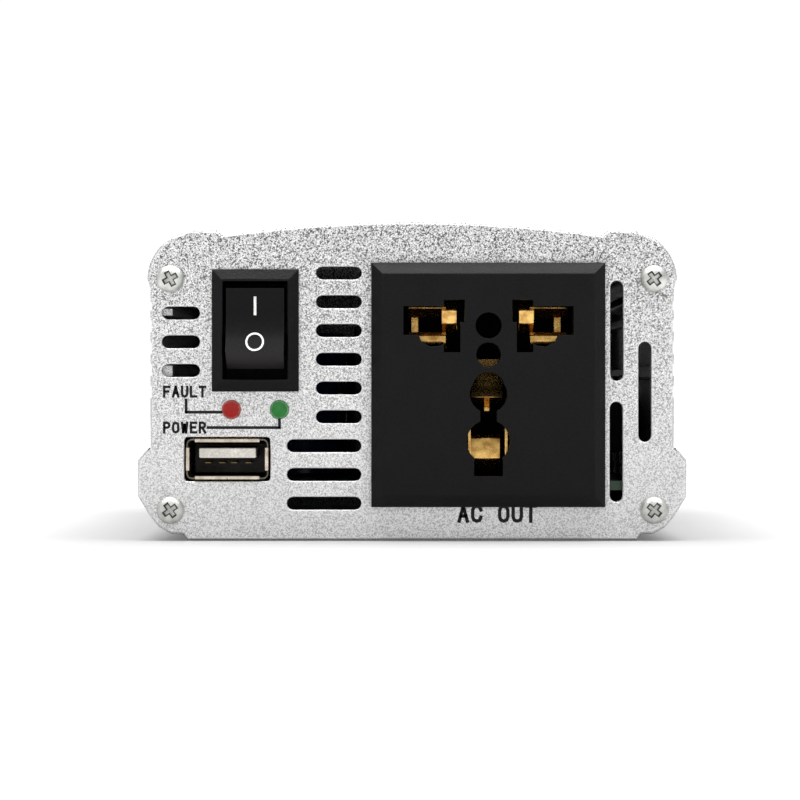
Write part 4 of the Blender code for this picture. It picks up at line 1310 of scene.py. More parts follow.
@dataclass
class RockerSwitch:
    """The switch: bezel, rocker with its two symbols, and the parts behind them."""

    edge: float = 0.3 * MM
    bezel_edge: float = 0.35 * MM
    bezel_lip: float = 0.3 * MM
    hollow: float = 3.4 * MM
    bar: tuple[float, float] = (0.46 * MM, 3.2 * MM)
    ring: tuple[float, float] = (1.6 * MM, 1.27 * MM)
    bar_height: float = 4.2 * MM
    ring_height: float = -2.0 * MM
    ink_thickness: float = 0.03 * MM

    def build(self, finishes: Finishes) -> None:
        """Make the switch."""
        piece("switch_bezel", self.bezel(), finishes.socket, Body.CASE, ("switch_housing",))
        paddle = self.paddle()
        self.symbols(finishes, paddle)
        piece("switch_paddle", paddle, finishes.rocker, Body.ROCKER, ("switch_rocker",))
        dress("switch_plunger", finishes.tongue)
        dress("switch_spring", finishes.zinc)
        blade = rounded(node_copy("switch_contact_blade"), 0.08 * MM)
        piece("switch_blade", blade, finishes.copper, Body.BLADE, ("switch_contact_blade",))
        for node in ("switch_terminal_common", "switch_terminal_load"):
            tab = rounded(node_copy(node), 0.15 * MM)
            piece(node.replace("terminal", "tab"), tab, finishes.brass, Body.CASE, (node,))

    def bezel(self) -> Mesh:
        """Return the housing, its bezel sloping from the window's lip to the outer edge."""
        mesh = node_copy("switch_housing")
        front = span("switch_housing")[0].y
        centre = middle("switch_housing")
        rim = [vert for vert in mesh.vertices if abs(vert.co.y - front) < WELD]
        inner_x = min(abs(vert.co.x - centre.x) for vert in rim)
        inner_z = min(abs(vert.co.z - centre.z) for vert in rim)
        for vert in rim:
            across, up = vert.co.x - centre.x, vert.co.z - centre.z
            if abs(across) > inner_x + WELD and abs(up) > inner_z + WELD:
                vert.co.x = centre.x + math.copysign(inner_x + self.bezel_lip, across)
                vert.co.z = centre.z + math.copysign(inner_z + self.bezel_lip, up)
        return rounded(mesh, self.bezel_edge, 3, 20.0)

    def paddle(self) -> Mesh:
        """Return the rocker, its two pressing faces run together in one hollow curve."""
        bm = bmesh.new()
        bm.from_mesh(node_copy("switch_rocker"))
        crease = []
        for edge in bm.edges:
            if len(edge.link_faces) == 2 and all(face.normal.y < -0.7 for face in edge.link_faces):
                one, other = edge.link_faces
                level = abs(edge.verts[0].co.z - edge.verts[1].co.z) < WELD
                if level and one.normal.angle(other.normal) > 0.1:
                    crease.append(edge)
        bmesh.ops.bevel(
            bm, geom=crease, offset=self.hollow, offset_type="OFFSET",
            segments=10, profile=0.5, affect="EDGES",
        )
        mesh = bpy.data.meshes.new("paddle")
        bm.to_mesh(mesh)
        bm.free()
        return rounded(mesh, self.edge, 3, 35.0)

    def symbols(self, finishes: Finishes, paddle: Mesh) -> None:
        """Print the bar and the ring on the rocker's curved face.

        Args:
            finishes: The finishes.
            paddle: The rocker's mesh.
        """
        centre = middle("switch_housing")
        half = self.bar[0] / 2.0
        rows = [self.bar[1] * (i / 12.0 - 0.5) for i in range(13)]
        bar = [(half, row) for row in rows] + [(-half, row) for row in reversed(rows)]
        drawings = (
            ((bar,), centre.z + self.bar_height),
            ([arc((0.0, 0.0), radius, 0.0, 354.0, 59) for radius in self.ring], centre.z + self.ring_height),
        )
        bm = bmesh.new()
        bm.from_mesh(paddle)
        surface = BVHTree.FromBMesh(bm)
        bm.free()
        meshes = []
        for contours, height in drawings:
            mesh = at_front(outline(contours, 2.0 * self.ink_thickness), 0.0)
            mesh.transform(Matrix.Translation((centre.x, 0.0, height)))
            for vert in mesh.vertices:
                hit = surface.ray_cast(Vector((vert.co.x, -0.1, vert.co.z)), Vector((0.0, 1.0, 0.0)))[0]
                vert.co.y += hit.y
            meshes.append(mesh)
        piece("switch_symbols", joined(meshes), finishes.white_ink, Body.ROCKER)


@dataclass
class Lamps:
    """The fault and power indicator lamps."""

    inset: float = 0.3 * MM
    rim: float = 0.34 * MM

    def build(self, finishes: Finishes) -> None:
        """Make both lamps as flat lenses in thin rims."""
        looks = (
            ("fault_led", "fault_lens", finishes.red_lens, "red_lens"),
            ("power_led", "power_lens", finishes.green_lens, "green_lens"),
        )
        for node, name, look, slot_name in looks:
            low, high = span(node)
            centre = (low + high) / 2.0
            radius = (high.x - low.x) / 2.0 - self.inset
            length = high.y - low.y
            profile = [
                (0.0, length - 0.16 * MM), (radius - 2.0 * self.rim, length - 0.12 * MM),
                (radius - self.rim, length - 0.02 * MM), (radius - 0.7 * self.rim, length),
                (radius - 0.3 * self.rim, length - 0.08 * MM), (radius, length - 0.45 * MM),
                (radius, 0.0), (0.0, 0.0),
            ]
            lens = turned(profile, 40)
            lens.transform(Matrix.Translation((centre.x, high.y, centre.z)) @ Facing.FRONT.turn)
            piece(name, lens, look, Body.CASE, (node,))


@dataclass
class UsbOutlet:
    """The USB outlet: a nickel rim in four tabs, a sleeve of nickel painted dark as shade, a tongue and four
    contacts.
    """

    wall: float = 0.3 * MM
    corner: float = 1.0 * MM
    contact_width: float = 1.0 * MM
    seam: float = 0.12 * MM
    recess: float = 0.7 * MM
    tab: float = 0.6 * MM
    tab_gap: float = 1.5 * MM
    contact_places: tuple[float, ...] = (-3.5, -1.0, 1.0, 3.5)

    def build(self, finishes: Finishes) -> None:
        """Make the outlet."""
        low, high = span("usb_shell")
        centre = (low + high) / 2.0
        size = high - low
        contours = []
        for shrink in (0.0, self.wall):
            half_x, half_z = size.x / 2.0 - shrink, size.z / 2.0 - shrink
            corner = max(self.corner - shrink, 0.2 * MM)
            ring = []
            for quarter, (sx, sz) in enumerate(((1, 1), (-1, 1), (-1, -1), (1, -1))):
                hub = (sx * (half_x - corner), sz * (half_z - corner))
                ring += arc(hub, corner, 90.0 * quarter, 90.0 * quarter + 90.0, 5)
            contours.append(ring)
        shell = at_front(outline(contours, size.y - self.recess, 0.1 * MM), 0.0)
        shell.transform(Matrix.Translation((centre.x, centre.y + self.recess / 2.0, centre.z)))
        across = (low.x + self.tab_gap, high.x - self.tab_gap)
        up = (low.z + self.tab_gap, high.z - self.tab_gap)
        back = low.y + self.recess + 0.4 * MM
        tabs = []
        for (left, right), (foot, top) in (
            (across, (low.z, low.z + self.tab)), (across, (high.z - self.tab, high.z)),
            ((low.x, low.x + self.tab), up), ((high.x - self.tab, high.x), up),
        ):
            tabs.append(rounded(block((left, low.y, foot), (right, back, top)), 0.12 * MM))
        piece("usb_rim", joined(tabs), finishes.nickel, Body.CASE)
        fold = block(
            (centre.x - self.seam / 2.0, low.y - 0.01 * MM, low.z - 0.01 * MM),
            (centre.x + self.seam / 2.0, low.y + 0.05 * MM, low.z + self.wall),
        )
        piece("usb_sleeve", shell, finishes.shaded_nickel, Body.CASE, ("usb_shell",))
        piece("usb_seam", fold, finishes.ink, Body.CASE)
        t_low, t_high = span("usb_tongue")
        tongue = rounded(node_copy("usb_tongue"), 0.2 * MM)
        # The tongue's back, deep in the port, takes the dark copy of its white plastic: painted shade.
        tongue.materials.clear()
        for look in (finishes.tongue, finishes.shaded):
            tongue.materials.append(look)
        for face in tongue.polygons:
            face.material_index = int(face.center.y > t_high.y - 4.0 * MM)
        piece("usb_insert", tongue, None, Body.CASE, ("usb_tongue",))
        blade_low = t_high.z - (t_high.z - t_low.z) * 0.31 - 1.7 * MM
        strips = []
        for offset in self.contact_places:
            x = centre.x + offset * MM
            strips.append(block(
                (x - self.contact_width / 2.0, t_low.y + 2.6 * MM, blade_low - 0.06 * MM),
                (x + self.contact_width / 2.0, t_high.y - 3.0 * MM, blade_low + 0.05 * MM),
            ))
        piece("usb_contacts", joined(strips), finishes.gold_in_painted_shade, Body.CASE)


@dataclass
class MainsSocket:
    """The universal socket: moulded face, rear cover and folded brass contacts."""

    edge: float = 0.16 * MM
    leaf: float = 0.55 * MM
    flange: float = 2.0 * MM
    flange_depth: float = 3.2 * MM
    body_step: float = 1.45 * MM
    hollow_step: float = 3.25 * MM
    front_wall: float = 3.7 * MM

    def build(self, finishes: Finishes) -> None:
        """Make the socket."""
        piece("socket_face", self.face(), finishes.socket, Body.CASE, ("socket_housing",))
        cover = rounded(node_copy("socket_back_cover"), 0.3 * MM)
        piece("socket_cover", cover, finishes.cover, Body.CASE, ("socket_back_cover",))
        axis = middle("socket_housing").x
        for side, node in ((-1.0, "socket_live_contact"), (1.0, "socket_neutral_contact")):
            name = node.replace("socket_", "").replace("contact", "clip")
            piece(name, self.pin_clip(node, side, axis), finishes.brass, Body.CASE, (node,))
        earth = self.earth_clip("socket_earth_contact", axis)
        piece("earth_clip", earth, finishes.brass, Body.CASE, ("socket_earth_contact",))

    def face(self) -> Mesh:
        """Return the moulding: a bevelled flange with its openings, and a hollow body behind."""
        low, high = span("socket_housing")
        depth = high.y - low.y
        outer, *holes = cap_rings("socket_housing", low.y)
        flange, step, inner = self.flange, self.flange - self.body_step, self.flange - self.hollow_step
        shell = [
            (-0.22 * MM, 0.0), (-0.03 * MM, 0.03 * MM), (0.15 * MM, 0.17 * MM),
            (flange - 0.16 * MM, flange - 0.16 * MM), (flange - 0.04 * MM, flange),
            (flange, flange + 0.16 * MM), (flange, self.flange_depth), (step, self.flange_depth),
            (step, depth), (inner, depth), (inner, self.front_wall),
        ]
        lip = [
            (-self.edge, 0.0), (-0.3 * self.edge, 0.3 * self.edge), (0.0, self.edge), (0.0, self.front_wall),
        ]

        def build(bm: bmesh.types.BMesh) -> None:
            """Add the walls, then the front face and the back of the front wall."""
            front, back = wall(bm, outer, shell, low.y)
            for hole in holes:
                hole_front, hole_back = wall(bm, hole, lip, low.y)
                front += hole_front
                back += hole_back
            for edges in (front, back):
                bmesh.ops.triangle_fill(bm, edges=edges, use_beauty=True, use_dissolve=False)

        mesh = mesh_from(build)
        crisp(mesh, lambda part: abs(part.normal.y) > FLAT)
        return mesh

    def folded(self, ends: Point2, profile: Sequence[Point2]) -> Mesh:
        """Return a strip of brass folded along a profile.

        Args:
            ends: The strip's lowest and highest X.
            profile: Y and Z of the sheet's middle, from its front edge to its root.

        Returns:
            The strip, its edges rounded.
        """

        def build(bm: bmesh.types.BMesh) -> None:
            """Add both sides of the sheet and close it round."""
            half = self.leaf / 2.0
            ring = [*self.offset(profile, half), *reversed(self.offset(profile, -half))]
            levels = [[bm.verts.new((x, y, z)) for y, z in ring] for x in ends]
            for i in range(len(ring)):
                bm.faces.new((levels[0][i - 1], levels[0][i], levels[1][i], levels[1][i - 1]))
            count = len(profile)
            for level in levels:
                for i in range(count - 1):
                    bm.faces.new((level[i], level[i + 1], level[-2 - i], level[-1 - i]))

        return rounded(mesh_from(build), 0.14 * MM, 2, 35.0)

    def offset(self, line: Sequence[Point2], distance: float) -> list[Point2]:
        """Return an open line moved sideways by a distance."""
        moved = []
        for before, here, after in zip([line[0], *line[:-1]], line, [*line[1:], line[-1]]):
            along = Vector((after[0] - before[0], after[1] - before[1])).normalized()
            moved.append((here[0] + along.y * distance, here[1] - along.x * distance))
        return moved

    def pin_clip(self, node: str, side: float, axis: float) -> Mesh:
        """Return the clip behind one pin entry.

        Args:
            node: The CAD node of the clip.
            side: -1 left of the socket's axis, 1 right of it.
            axis: The socket's axis.

        Returns:
            The mesh.
        """
        low, high = span(node)
        front, back, top, foot = low.y, high.y, high.z, low.z
        ends = (low.x, high.x)
        upper = [
            *course(front, top, (0.5, -0.4), (2.5, -1.1), (4.5, -1.9), (7.0, -1.5)),
            *course(back, top, (-0.4, -0.9)),
        ]
        lower = [
            *course(front, foot, (1.5, -1.2), (0.9, -0.6), (0.7, 0.1), (0.9, 0.8), (1.7, 1.3), (5.5, 0.9)),
            *course(back, foot, (-0.4, 0.8)),
        ]
        bridge = [
            *course(back, top, (-0.4, -0.9)),
            *course(back, foot, (-0.4, 0.8)),
        ]
        far = high.x if side > 0.0 else low.x
        narrow = sorted((far - side * 0.5 * MM, far - side * 1.9 * MM))
        inner, outer = sorted((axis + side * 5.3 * MM, axis + side * 8.0 * MM))
        blade = course(front, top, (2.4, 0.5), (1.5, -1.0), (1.8, -3.2), (3.4, -4.6))
        sheets = ((ends, upper), (ends, lower), (narrow, bridge), ((inner, outer), blade))
        return joined([self.folded(reach, sheet) for reach, sheet in sheets])

    def earth_clip(self, node: str, axis: float) -> Mesh:
        """Return the earth clip: a sloping upper leaf, a bridge, and a cupped lower leaf.

        Args:
            node: The CAD node of the clip.
            axis: The socket's axis.

        Returns:
            The mesh.
        """
        low, high = span(node)
        front, back, top, foot = low.y, high.y, high.z, low.z
        wide = (axis - 2.9 * MM, axis + 2.6 * MM)
        upper = [
            *course(front, top, (5.4, 2.6), (4.6, 0.6), (3.4, -1.6), (2.2, -4.0), (4.0, -4.6)),
            *course(back, top, (-0.4, -4.8)),
        ]
        cup = [
            *course(back, foot, (-0.4, 6.5)),
            *course(front, foot, (3.0, 6.5), (1.9, 6.0), (1.5, 4.2), (1.6, 2.6), (2.3, 1.8), (5.5, 0.4)),
        ]
        spur = course(front, top, (4.0, -4.6), (3.0, -5.9), (3.2, -6.4))
        strips = [
            self.folded(wide, upper), self.folded((axis - 3.3 * MM, axis + 2.2 * MM), cup),
            self.folded((axis - 0.7 * MM, axis + 0.4 * MM), spur),
        ]
        for side in (-1.0, 1.0):
            ends = sorted((axis + side * 2.9 * MM, axis + side * 3.6 * MM))
            strips.append(rounded(block(
                (ends[0], front + 1.2 * MM, foot), (ends[1], back, top - 6.5 * MM),
            ), 0.2 * MM))
        return joined(strips)


# --------------------------------------------------------------------------------------------
# Rear fittings
# --------------------------------------------------------------------------------------------


@dataclass
class CoolingFan:
    """The fan: frame, and a rotor with twisted blades."""

    root_pitch: float = 52.0
    tip_pitch: float = 30.0
    blades: int = 7
    thickness: float = 0.8 * MM
    chord: float = 8.0 * MM
    camber: float = 28.0

    def build(self, finishes: Finishes) -> None:
        """Make the fan."""
        housing = rounded(node_copy("fan_frame"), 0.3 * MM, 2, 35.0)
        piece("fan_shroud", housing, finishes.fan, Body.CASE, ("fan_frame",))
        low, high = span("fan_rotor")
        centre = middle("fan_frame")
        tip = (high.z - low.z) / 2.0 - 0.1 * MM
        hub = 9.5 * MM
        front = high.y
        back = front - 7.0 * MM
        profile = [
            (0.0, 0.0), (hub - 0.8 * MM, 0.0), (hub - 0.24 * MM, -0.24 * MM), (hub, -0.8 * MM),
            (hub, back - front), (hub - 1.0 * MM, back - front), (hub - 1.0 * MM, -1.2 * MM),
            (1.0 * MM, -1.2 * MM), (1.0 * MM, low.y - front), (0.0, low.y - front),
        ]
        cap = turned(profile, 56)
        cap.transform(Matrix.Translation((centre.x, front, centre.z)) @ Facing.REAR.turn)
        places = [Vector((centre.x, (front + back) / 2.0, centre.z))] * self.blades
        turns = [
            Facing.REAR.turn @ Matrix.Rotation(math.tau * i / self.blades, 4, "Z") for i in range(self.blades)
        ]
        vanes = self.blade_tree(finishes.fan).grow(named_points(places, turns), {
            "Hub Radius": hub - 0.3 * MM, "Tip Radius": tip, "Chord": self.chord,
            "Root Pitch": math.radians(self.root_pitch), "Tip Pitch": math.radians(self.tip_pitch),
            "Thickness": self.thickness,
        })
        piece("fan_impeller", joined((cap, vanes)), finishes.fan, Body.FAN, ("fan_rotor",))

    def blade_tree(self, look: Material) -> Tree:
        """Return the tree of one twisted blade copied onto every point."""
        tree = Tree("fan_blades")
        hub, tip = tree.size("Hub Radius"), tree.size("Tip Radius")
        chord, root_pitch = tree.size("Chord"), tree.size("Root Pitch")
        tip_pitch, thickness = tree.size("Tip Pitch"), tree.size("Thickness")
        reach = tree.calculate("SUBTRACT", tip, hub)
        grid = tree.add("GeometryNodeMeshGrid", {
            "Size X": reach, "Size Y": chord, "Vertices X": 9, "Vertices Y": 9,
        }).outputs["Mesh"]
        half = tree.calculate("MULTIPLY", reach, 0.5)
        shifted = tree.moved(grid, Translation=tree.vector(tree.calculate("ADD", hub, half), 0.0, 0.0))
        position = tree.add("GeometryNodeInputPosition").outputs["Position"]
        split = tree.add("ShaderNodeSeparateXYZ", {0: position})
        share = tree.calculate("DIVIDE", tree.calculate("SUBTRACT", split.outputs[0], hub), reach)
        drop = tree.calculate("SUBTRACT", root_pitch, tip_pitch)
        angle = tree.calculate("SUBTRACT", root_pitch, tree.calculate("MULTIPLY", share, drop))
        square = tree.calculate("MULTIPLY", split.outputs[1], split.outputs[1])
        camber = tree.calculate("MULTIPLY", square, self.camber)
        bowed = tree.vector(split.outputs[0], split.outputs[1], camber)
        twist = tree.add("ShaderNodeVectorRotate", {"Vector": bowed, "Angle": angle}, rotation_type="X_AXIS")
        blade = tree.add("GeometryNodeSetPosition", {
            "Geometry": shifted, "Position": twist.outputs["Vector"],
        }).outputs["Geometry"]
        solid = tree.add("GeometryNodeExtrudeMesh", {
            "Mesh": blade, "Offset Scale": thickness, "Individual": False,
        })
        flipped = tree.add("GeometryNodeFlipFaces", {"Mesh": blade}).outputs["Mesh"]
        closed = tree.joined(solid.outputs["Mesh"], flipped)
        welds = tree.add("GeometryNodeMergeByDistance", {"Geometry": closed, "Distance": WELD})
        copies = tree.on_points(welds.outputs["Geometry"], tree.facing())
        tree.finish(tree.painted(copies, look))
        return tree


@dataclass
class BatteryTerminal:
    """One battery terminal: threaded stud, bush, washer and ribbed knob, and its inner lead."""

    name: str
    washer_body: Body
    knob_body: Body
    slot: str
    ribs: int = 24
    thread_pitch: float = 0.8 * MM

    def build(self, finishes: Finishes) -> None:
        """Make the terminal."""
        plastic = finishes.red if self.name == "positive" else finishes.black
        self.stud(finishes)
        bush = rounded(node_copy(f"{self.name}_bush"), 0.2 * MM)
        piece(f"{self.name}_collar", bush, plastic, Body.CASE, (f"{self.name}_bush",))
        washer = rounded(node_copy(f"{self.name}_washer"), 0.15 * MM)
        piece(
            f"{self.name}_ring", washer, finishes.brass, self.washer_body, (f"{self.name}_washer",),
        )
        self.knob(finishes, plastic)
        lead = rounded(node_copy(f"{self.name}_lead"), 0.1 * MM, 1, 60.0)
        piece(f"{self.name}_wire", lead, plastic, Body.CASE, (f"{self.name}_lead",))

    def stud(self, finishes: Finishes) -> None:
        """Make the stud with its thread."""
        low, high = span(f"{self.name}_stud")
        centre = (low + high) / 2.0
        radius = (high.x - low.x) / 2.0
        root = radius - 0.3 * MM
        turns = int((high.y - low.y) / self.thread_pitch)
        profile = [(0.0, high.y), (root, high.y)]
        for i in range(turns):
            top = high.y - i * self.thread_pitch
            profile += [(root, top - 0.1 * self.thread_pitch), (radius, top - 0.5 * self.thread_pitch)]
        profile += [(root, low.y), (0.0, low.y)]
        stud = turned([(r, y) for r, y in profile], 36)
        stud.transform(Matrix.Translation((centre.x, 0.0, centre.z)) @ Facing.REAR.turn)
        piece(f"{self.name}_thread", stud, finishes.brass, Body.CASE, (f"{self.name}_stud",))

    def knob(self, finishes: Finishes, plastic: Material) -> None:
        """Make the knob with its ribs."""
        low, high = span(f"{self.name}_knob")
        centre = (low + high) / 2.0
        radius = (high.x - low.x) / 2.0 - 0.25 * MM
        length = high.y - low.y
        bore = 2.3 * MM
        profile = [
            (0.0, length), (radius - 1.6 * MM, length), (radius - 0.7 * MM, length - 0.25 * MM),
            (radius - 0.1 * MM, length - 1.0 * MM), (radius, length - 1.8 * MM), (radius, 2.6 * MM),
            (radius - 0.8 * MM, 1.7 * MM), (radius - 0.8 * MM, 0.2 * MM), (radius - 1.0 * MM, 0.0),
            (bore, 0.0), (bore, length - 0.6 * MM), (0.0, length - 0.6 * MM),
        ]
        core = turned(profile, 64)
        core.transform(Matrix.Translation((centre.x, low.y, centre.z)) @ Facing.REAR.turn)
        places, turns = [], []
        for i in range(self.ribs):
            angle = math.tau * i / self.ribs
            offset = Vector((math.cos(angle) * radius, 0.0, math.sin(angle) * radius))
            places.append(Vector((centre.x, low.y + 2.2 * MM, centre.z)) + offset)
            turns.append(Matrix.Rotation(-angle, 4, "Y"))
        ribs = self.rib_tree(plastic).grow(named_points(places, turns), {
            "Rib Radius": 0.42 * MM, "Rib Length": length - 4.4 * MM,
        })
        piece(
            f"{self.name}_cap", joined((core, ribs)), plastic, self.knob_body,
            (f"{self.name}_knob",),
        )

    def rib_tree(self, look: Material) -> Tree:
        """Return the tree of one grip rib copied onto every point."""
        tree = Tree("knob_ribs")
        radius, length = tree.size("Rib Radius"), tree.size("Rib Length")
        rod = tree.add("GeometryNodeMeshCylinder", {
            "Vertices": 10, "Radius": radius, "Depth": length, "Fill Segments": 1,
        }).outputs["Mesh"]
        half = tree.calculate("MULTIPLY", length, 0.5)
        rod = tree.moved(rod, Rotation=(math.radians(-90.0), 0.0, 0.0), Scale=(0.6, 1.0, 1.0))
        rod = tree.moved(rod, Translation=tree.vector(0.0, half, 0.0))
        tree.finish(tree.painted(tree.on_points(rod, tree.facing()), look))
        return tree


# --------------------------------------------------------------------------------------------
# Inside the case
# --------------------------------------------------------------------------------------------


@dataclass
class Electronics:
    """The board and what stands on it."""

    turns: int = 46

    def build(self, finishes: Finishes) -> None:
        """Make the board's pieces."""
        dress("main_board", finishes.board)
        core = rounded(node_copy("transformer_core"), 0.4 * MM)
        piece("core_halves", core, finishes.ferrite, Body.CASE, ("transformer_core",))
        coil = rounded(node_copy("transformer_winding"), 0.5 * MM, 3)
        piece("taped_winding", coil, finishes.tape, Body.CASE, ("transformer_winding",))
        for node in ("hv_capacitor", "input_capacitor_1", "input_capacitor_2"):
            can = rounded(node_copy(node), 0.3 * MM, 2, 40.0)
            name = node.replace("capacitor", "can")
            piece(name, can, finishes.sleeve, Body.CASE, (node,))
        self.choke(finishes)
        chip = rounded(node_copy("controller_chip"), 0.15 * MM)
        piece("chip_package", chip, finishes.epoxy, Body.CASE, ("controller_chip",))
        fuse = rounded(node_copy("input_fuse"), 0.4 * MM)
        piece("fuse_body", fuse, finishes.orange, Body.CASE, ("input_fuse",))
        for number in range(1, 5):
            node = f"power_transistor_{number}"
            package = rounded(node_copy(node), 0.2 * MM)
            name = f"transistor_package_{number}"
            piece(name, package, finishes.epoxy, Body.CASE, (node,))
        for side in ("left", "right"):
            bar = rounded(node_copy(f"clamp_bar_{side}"), 0.25 * MM)
            piece(f"clamp_strip_{side}", bar, finishes.zinc, Body.CASE, (f"clamp_bar_{side}",))
        wire = rounded(node_copy("live_lead"), 0.1 * MM, 1, 60.0)
        piece("live_wire", wire, finishes.red, Body.CASE, ("live_lead",))

    def choke(self, finishes: Finishes) -> None:
        """Make the toroid as turns of wire round a ferrite ring."""
        low, high = span("toroid_inductor")
        centre = (low + high) / 2.0
        outer, height = (high.x - low.x) / 2.0, high.z - low.z
        wire = height * 0.09
        section = (height / 2.0 - wire * 1.4, height / 2.0 - wire * 1.4)
        ring_radius = outer - height / 2.0 - 0.1 * MM
        round_section = arc((0.0, 0.0), section[0] - wire, 0.0, 360.0, 20)
        ring = turned([(ring_radius + r, z) for r, z in round_section], 48)
        places = [centre] * self.turns
        turns = [Matrix.Rotation(math.tau * i / self.turns, 4, "Z") for i in range(self.turns)]
        loops = self.loop_tree(finishes.enamel).grow(named_points(places, turns), {
            "Ring Radius": ring_radius, "Loop Radius": section[0], "Wire Radius": wire * 0.5,
        })
        ring.transform(Matrix.Translation(centre))
        piece("choke_ring", ring, finishes.ferrite, Body.CASE)
        piece("choke_turns", loops, finishes.enamel, Body.CASE, ("toroid_inductor",))

    def loop_tree(self, look: Material) -> Tree:
        """Return the tree of one turn of wire copied onto every point."""
        tree = Tree("wire_turns")
        ring, loop, wire = tree.size("Ring Radius"), tree.size("Loop Radius"), tree.size("Wire Radius")
        circle = "GeometryNodeCurvePrimitiveCircle"
        path = tree.add(circle, {"Resolution": 24, "Radius": loop}).outputs["Curve"]
        profile = tree.add(circle, {"Resolution": 8, "Radius": wire}).outputs["Curve"]
        turn = tree.add("GeometryNodeCurveToMesh", {"Curve": path, "Profile Curve": profile}).outputs["Mesh"]
        turn = tree.moved(turn, Rotation=(math.radians(90.0), 0.0, 0.0))
        turn = tree.moved(turn, Translation=tree.vector(ring, 0.0, 0.0))
        tree.finish(tree.painted(tree.on_points(turn, tree.facing()), look))
        return tree


# --------------------------------------------------------------------------------------------
# Studio
# --------------------------------------------------------------------------------------------


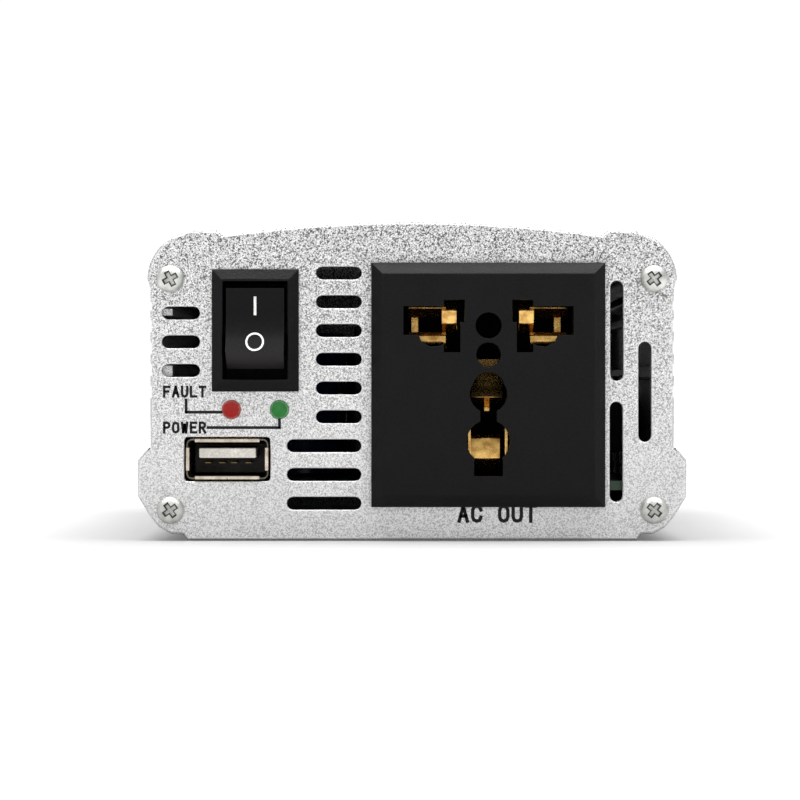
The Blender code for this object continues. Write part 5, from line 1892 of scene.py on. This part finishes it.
@dataclass
class Studio:
    """A glowing white table with a painted contact shadow, a white surround, one soft light and the camera."""

    camera_place: tuple[float, float, float] = (-0.0021, -0.675, 0.0243)
    lens: float = 156.5
    room: float = 0.75
    sweep: float = 1.05
    glow: tuple[float, float] = (0.11, 0.85)
    shadow: tuple[float, float] = (0.0, 0.07)
    floor_half: float = 3.0
    softbox_place: tuple[float, float, float] = (0.0, -0.10, 0.62)
    softbox_target: tuple[float, float, float] = (0.0, -0.03, 0.03)
    softbox_size: tuple[float, float] = (0.9, 0.5)
    softbox_watts: float = 8.5

    def build(self) -> None:
        """Make the studio."""
        self.floor()
        self.surroundings()
        bpy.context.scene.view_settings.view_transform = "Standard"
        self.light(
            "overhead_softbox", self.softbox_place, self.softbox_target, self.softbox_size, self.softbox_watts,
        )
        camera_data = bpy.data.cameras.new("view")
        camera_data.lens = self.lens
        camera_data.sensor_width = 36.0
        camera_data.clip_start = 0.01
        camera = bpy.data.objects.new("view", camera_data)
        camera.location = self.camera_place
        camera.rotation_euler = (math.radians(90.0), 0.0, 0.0)
        bpy.context.scene.collection.objects.link(camera)
        bpy.context.scene.camera = camera

    def surroundings(self) -> None:
        """Make a white sweep behind the object, and a dimmer room that lights it."""
        world = bpy.data.worlds.new("surround")
        world.use_nodes = True
        nodes, links = world.node_tree.nodes, world.node_tree.links
        room = nodes["Background"]
        room.inputs["Color"].default_value = (1.0, 1.0, 1.0, 1.0)
        room.inputs["Strength"].default_value = self.room
        sweep = nodes.new("ShaderNodeBackground")
        sweep.inputs["Color"].default_value = (1.0, 1.0, 1.0, 1.0)
        sweep.inputs["Strength"].default_value = self.sweep
        path = nodes.new("ShaderNodeLightPath")
        both = nodes.new("ShaderNodeMixShader")
        links.new(path.outputs["Is Camera Ray"], both.inputs[0])
        links.new(room.outputs["Background"], both.inputs[1])
        links.new(sweep.outputs["Background"], both.inputs[2])
        links.new(both.outputs["Shader"], nodes["World Output"].inputs["Surface"])
        bpy.context.scene.world = world

    def floor(self) -> None:
        """Make the table, its glow dimmed near the object's footprint as a painted contact shadow."""
        half = self.floor_half
        mesh = bpy.data.meshes.new("table")
        corners = [(-half, -half, 0.0), (half, -half, 0.0), (half, half, 0.0), (-half, half, 0.0)]
        mesh.from_pydata(corners, [], [(0, 1, 2, 3)])
        shader = Shader("table_white", 0.6)
        shader.colour(shader.ramp(shader.noise(0.2), ((0.3, (0.37, 0.37, 0.37)), (0.7, (0.39, 0.39, 0.39)))))
        shader.surface.inputs["Emission Color"].default_value = (1.0, 1.0, 1.0, 1.0)
        # Painted shadow: the table's glow rises from glow[0] at the footprint to glow[1] beyond shadow[1], so
        # the floor darkens round the object.
        gaps = []
        for axis, corner in zip("XY", CAD_BOX[1]):
            away = shader.calculate("ABSOLUTE", shader.part(shader.coordinates, axis))
            gaps.append(shader.calculate("SUBTRACT", away, corner))
        nearest = shader.calculate("MAXIMUM", *gaps)
        painted_shadow_ramp = shader.nodes.new("ShaderNodeMapRange")
        painted_shadow_ramp.interpolation_type = "SMOOTHSTEP"
        for name, value in zip(("From Min", "From Max", "To Min", "To Max"), (*self.shadow, *self.glow)):
            painted_shadow_ramp.inputs[name].default_value = value
        shader.links.new(nearest, painted_shadow_ramp.inputs["Value"])
        shader.links.new(painted_shadow_ramp.outputs["Result"], shader.surface.inputs["Emission Strength"])
        mesh.materials.append(shader.done())
        table = bpy.data.objects.new("table", mesh)
        bpy.context.scene.collection.objects.link(table)

    def light(
        self, name: str, place: tuple[float, float, float], target: tuple[float, float, float],
        size: tuple[float, float], watts: float,
    ) -> None:
        """Add a soft light.

        Args:
            name: The light's name.
            place: Where it stands.
            target: What it looks at.
            size: Its width and height in metres.
            watts: Its power.
        """
        data = bpy.data.lights.new(name, "AREA")
        data.shape = "RECTANGLE"
        data.size, data.size_y = size
        data.energy = watts
        lamp = bpy.data.objects.new(name, data)
        lamp.location = place
        lamp.rotation_euler = (Vector(target) - Vector(place)).to_track_quat("-Z", "Y").to_euler()
        bpy.context.scene.collection.objects.link(lamp)


def main() -> None:
    """Build every sub-assembly round the frame."""
    logging.basicConfig(level=logging.INFO, format="%(name)s: %(message)s")
    finishes = Finishes()
    Studio().build()
    Case().build(finishes)
    for name, prefix, facing, turns in (
        ("front_panel_screws", "front", Facing.FRONT, (28.0, 38.0, 35.0, 52.0)),
        ("rear_panel_screws", "rear", Facing.REAR, (20.0, 71.0, 33.0, 5.0)),
        ("fan_mount_screws", "fan", Facing.REAR, (64.0, 17.0, 81.0, 40.0)),
    ):
        nodes = [f"{prefix}_screw_{number}" for number in range(1, len(turns) + 1)]
        Fasteners(name, nodes, facing, turns).build(finishes)
    Legends().build(finishes)
    RockerSwitch().build(finishes)
    Lamps().build(finishes)
    UsbOutlet().build(finishes)
    MainsSocket().build(finishes)
    CoolingFan().build(finishes)
    BatteryTerminal("positive", Body.POSITIVE_WASHER, Body.POSITIVE_KNOB, "red_plastic").build(finishes)
    BatteryTerminal("negative", Body.NEGATIVE_WASHER, Body.NEGATIVE_KNOB, "black_plastic").build(finishes)
    Electronics().build(finishes)


if __name__ == "__main__":
    main()
